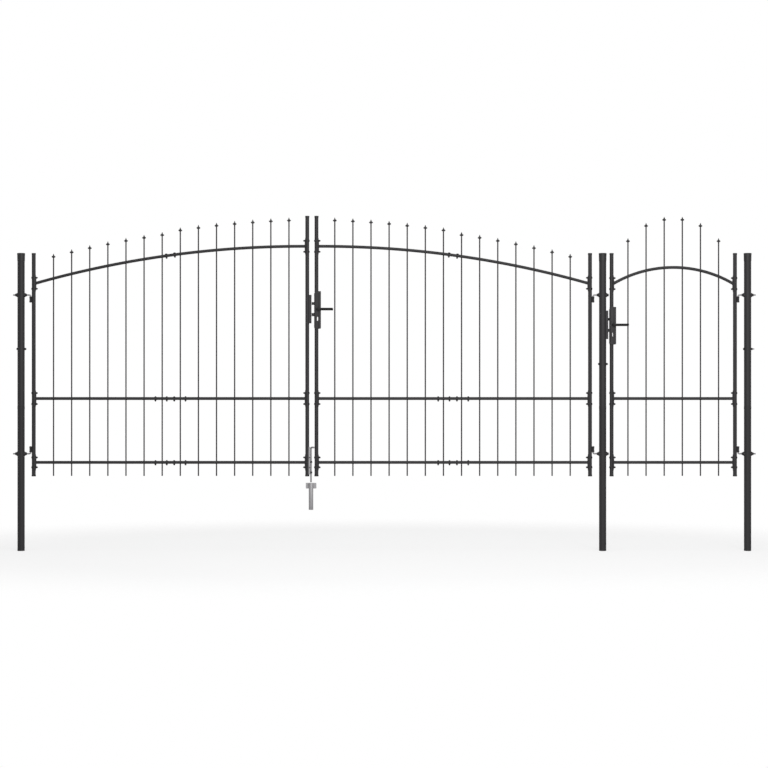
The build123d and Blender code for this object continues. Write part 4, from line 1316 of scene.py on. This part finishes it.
class GATE_OT_stage(bpy.types.Operator):
    """Set the floor, the light and the camera"""

    bl_idname = "gate.stage"
    bl_label = "Stage"

    def execute(self, context):
        scene = context.scene
        stage = scene.gate_stage
        scene.view_settings.view_transform = "Standard"
        self.sky(scene, stage)
        self.floor(scene, stage)
        centre = at(stage.view_x, stage.view_z)
        camera = bpy.data.objects.new("camera", bpy.data.cameras.new("camera"))
        camera.location = centre + FRONT * stage.camera_distance
        camera.rotation_euler = (pi / 2, 0.0, 0.0)
        camera.data.lens = camera.data.sensor_width * stage.camera_distance / stage.view_width
        scene.collection.objects.link(camera)
        scene.camera = camera
        self.lamp(scene, "key", stage.key_watts, stage.key_size, Vector(stage.key_place), centre)
        self.lamp(scene, "top", stage.top_watts, stage.top_size, Vector(stage.top_place), centre)
        return {"FINISHED"}

    def sky(self, scene, stage):
        """Soft light all round that is seen and mirrored as plain white."""
        world = bpy.data.worlds.new("studio")
        world.use_nodes = True
        graph = Graph(world.node_tree)
        path = graph.node("ShaderNodeLightPath")
        seen = Field(graph, path.outputs["Is Camera Ray"]) + Field(graph, path.outputs["Is Glossy Ray"])
        seen = seen + Field(graph, path.outputs["Is Transmission Ray"])
        level = stage.sky_level + seen * (1.0 - stage.sky_level)
        sky = graph.field("ShaderNodeBackground", None, {"Color": (1.0, 1.0, 1.0, 1.0), "Strength": level})
        graph.node("ShaderNodeOutputWorld", None, {"Surface": sky})
        scene.world = world

    def floor(self, scene, stage):
        """A pale floor that fades out towards its edges."""
        graph = material_graph("floor")
        place = graph.place("Generated")
        place = graph.field("ShaderNodeVectorMath", {"operation": "SUBTRACT"}, {0: place, 1: (0.5, 0.5, 0.5)})
        place = graph.field("ShaderNodeVectorMath", {"operation": "MULTIPLY"}, {0: place, 1: (1.0, 1.0, 0.0)})
        reach = graph.field("ShaderNodeVectorMath", {"operation": "LENGTH"}, {0: place}, output="Value")
        fade = graph.ramp(reach, stage.fade_start, stage.fade_end)
        seen = graph.field("ShaderNodeLightPath", output="Is Camera Ray")
        fade = fade + (1.0 - fade) * (stage.floor_clear * seen)
        pale = graph.field("ShaderNodeBsdfDiffuse", None, {"Color": (*stage.floor_shade, 1.0)})
        clear = graph.field("ShaderNodeBsdfTransparent")
        blend = graph.field("ShaderNodeMixShader", None, {0: fade, 1: pale, 2: clear})
        graph.node("ShaderNodeOutputMaterial", None, {"Surface": blend})
        mesh = bpy.data.meshes.new("floor")
        x, y = stage.floor_reach, stage.floor_depth
        corners = [(-x, -y, 0.0), (x, -y, 0.0), (x, y, 0.0), (-x, y, 0.0)]
        mesh.from_pydata([(stage.view_x + a, b, c) for a, b, c in corners], [], [(0, 1, 2, 3)])
        mesh.materials.append(bpy.data.materials["floor"])
        floor = bpy.data.objects.new("floor", mesh)
        scene.collection.objects.link(floor)

    def lamp(self, scene, name, watts, size, place, aim):
        """A soft rectangular lamp."""
        lamp = bpy.data.objects.new(name, bpy.data.lights.new(name, "AREA"))
        lamp.data.shape = "RECTANGLE"
        lamp.data.size, lamp.data.size_y = size
        lamp.data.energy = watts
        lamp.location = place
        lamp.rotation_euler = (aim - place).to_track_quat("-Z", "Y").to_euler()
        scene.collection.objects.link(lamp)


PIECES = (
    GATE_OT_finishes,
    GATE_OT_posts,
    GATE_OT_hooks,
    GATE_OT_stiles,
    GATE_OT_panels,
    GATE_OT_bolts,
    GATE_OT_locks,
    GATE_OT_drop_bolt,
    GATE_OT_stage,
)


class GATE_PT_dresser(bpy.types.Panel):
    """The pieces in the order in which they are drawn"""

    bl_idname = "GATE_PT_dresser"
    bl_label = "Driveway gate"
    bl_space_type = "VIEW_3D"
    bl_region_type = "UI"
    bl_category = "Gate"

    def draw(self, context):
        for piece in PIECES:
            self.layout.operator(piece.bl_idname)


SETTINGS = {
    "gate_posts": GatePosts,
    "gate_hinges": GateHinges,
    "gate_bars": GateBars,
    "gate_fasteners": GateFasteners,
    "gate_drop_bolt": GateDropBolt,
    "gate_finish": GateFinish,
    "gate_stage": GateStage,
}
CLASSES = (*SETTINGS.values(), *PIECES, GATE_PT_dresser)


def register():
    """Add the classes and the scene's settings."""
    for cls in CLASSES:
        bpy.utils.register_class(cls)
    for name, group in SETTINGS.items():
        setattr(bpy.types.Scene, name, bpy.props.PointerProperty(type=group))


def unregister():
    """Take them away again."""
    for name in SETTINGS:
        delattr(bpy.types.Scene, name)
    for cls in reversed(CLASSES):
        bpy.utils.unregister_class(cls)


def main():
    """Register the classes and draw everything in order."""
    register()
    bpy.ops.gate.finishes()
    bpy.ops.gate.posts()
    bpy.ops.gate.hooks()
    bpy.ops.gate.stiles()
    bpy.ops.gate.panels()
    bpy.ops.gate.bolts()
    bpy.ops.gate.locks()
    bpy.ops.gate.drop_bolt()
    bpy.ops.gate.stage()


if __name__ == "__main__":
    main()
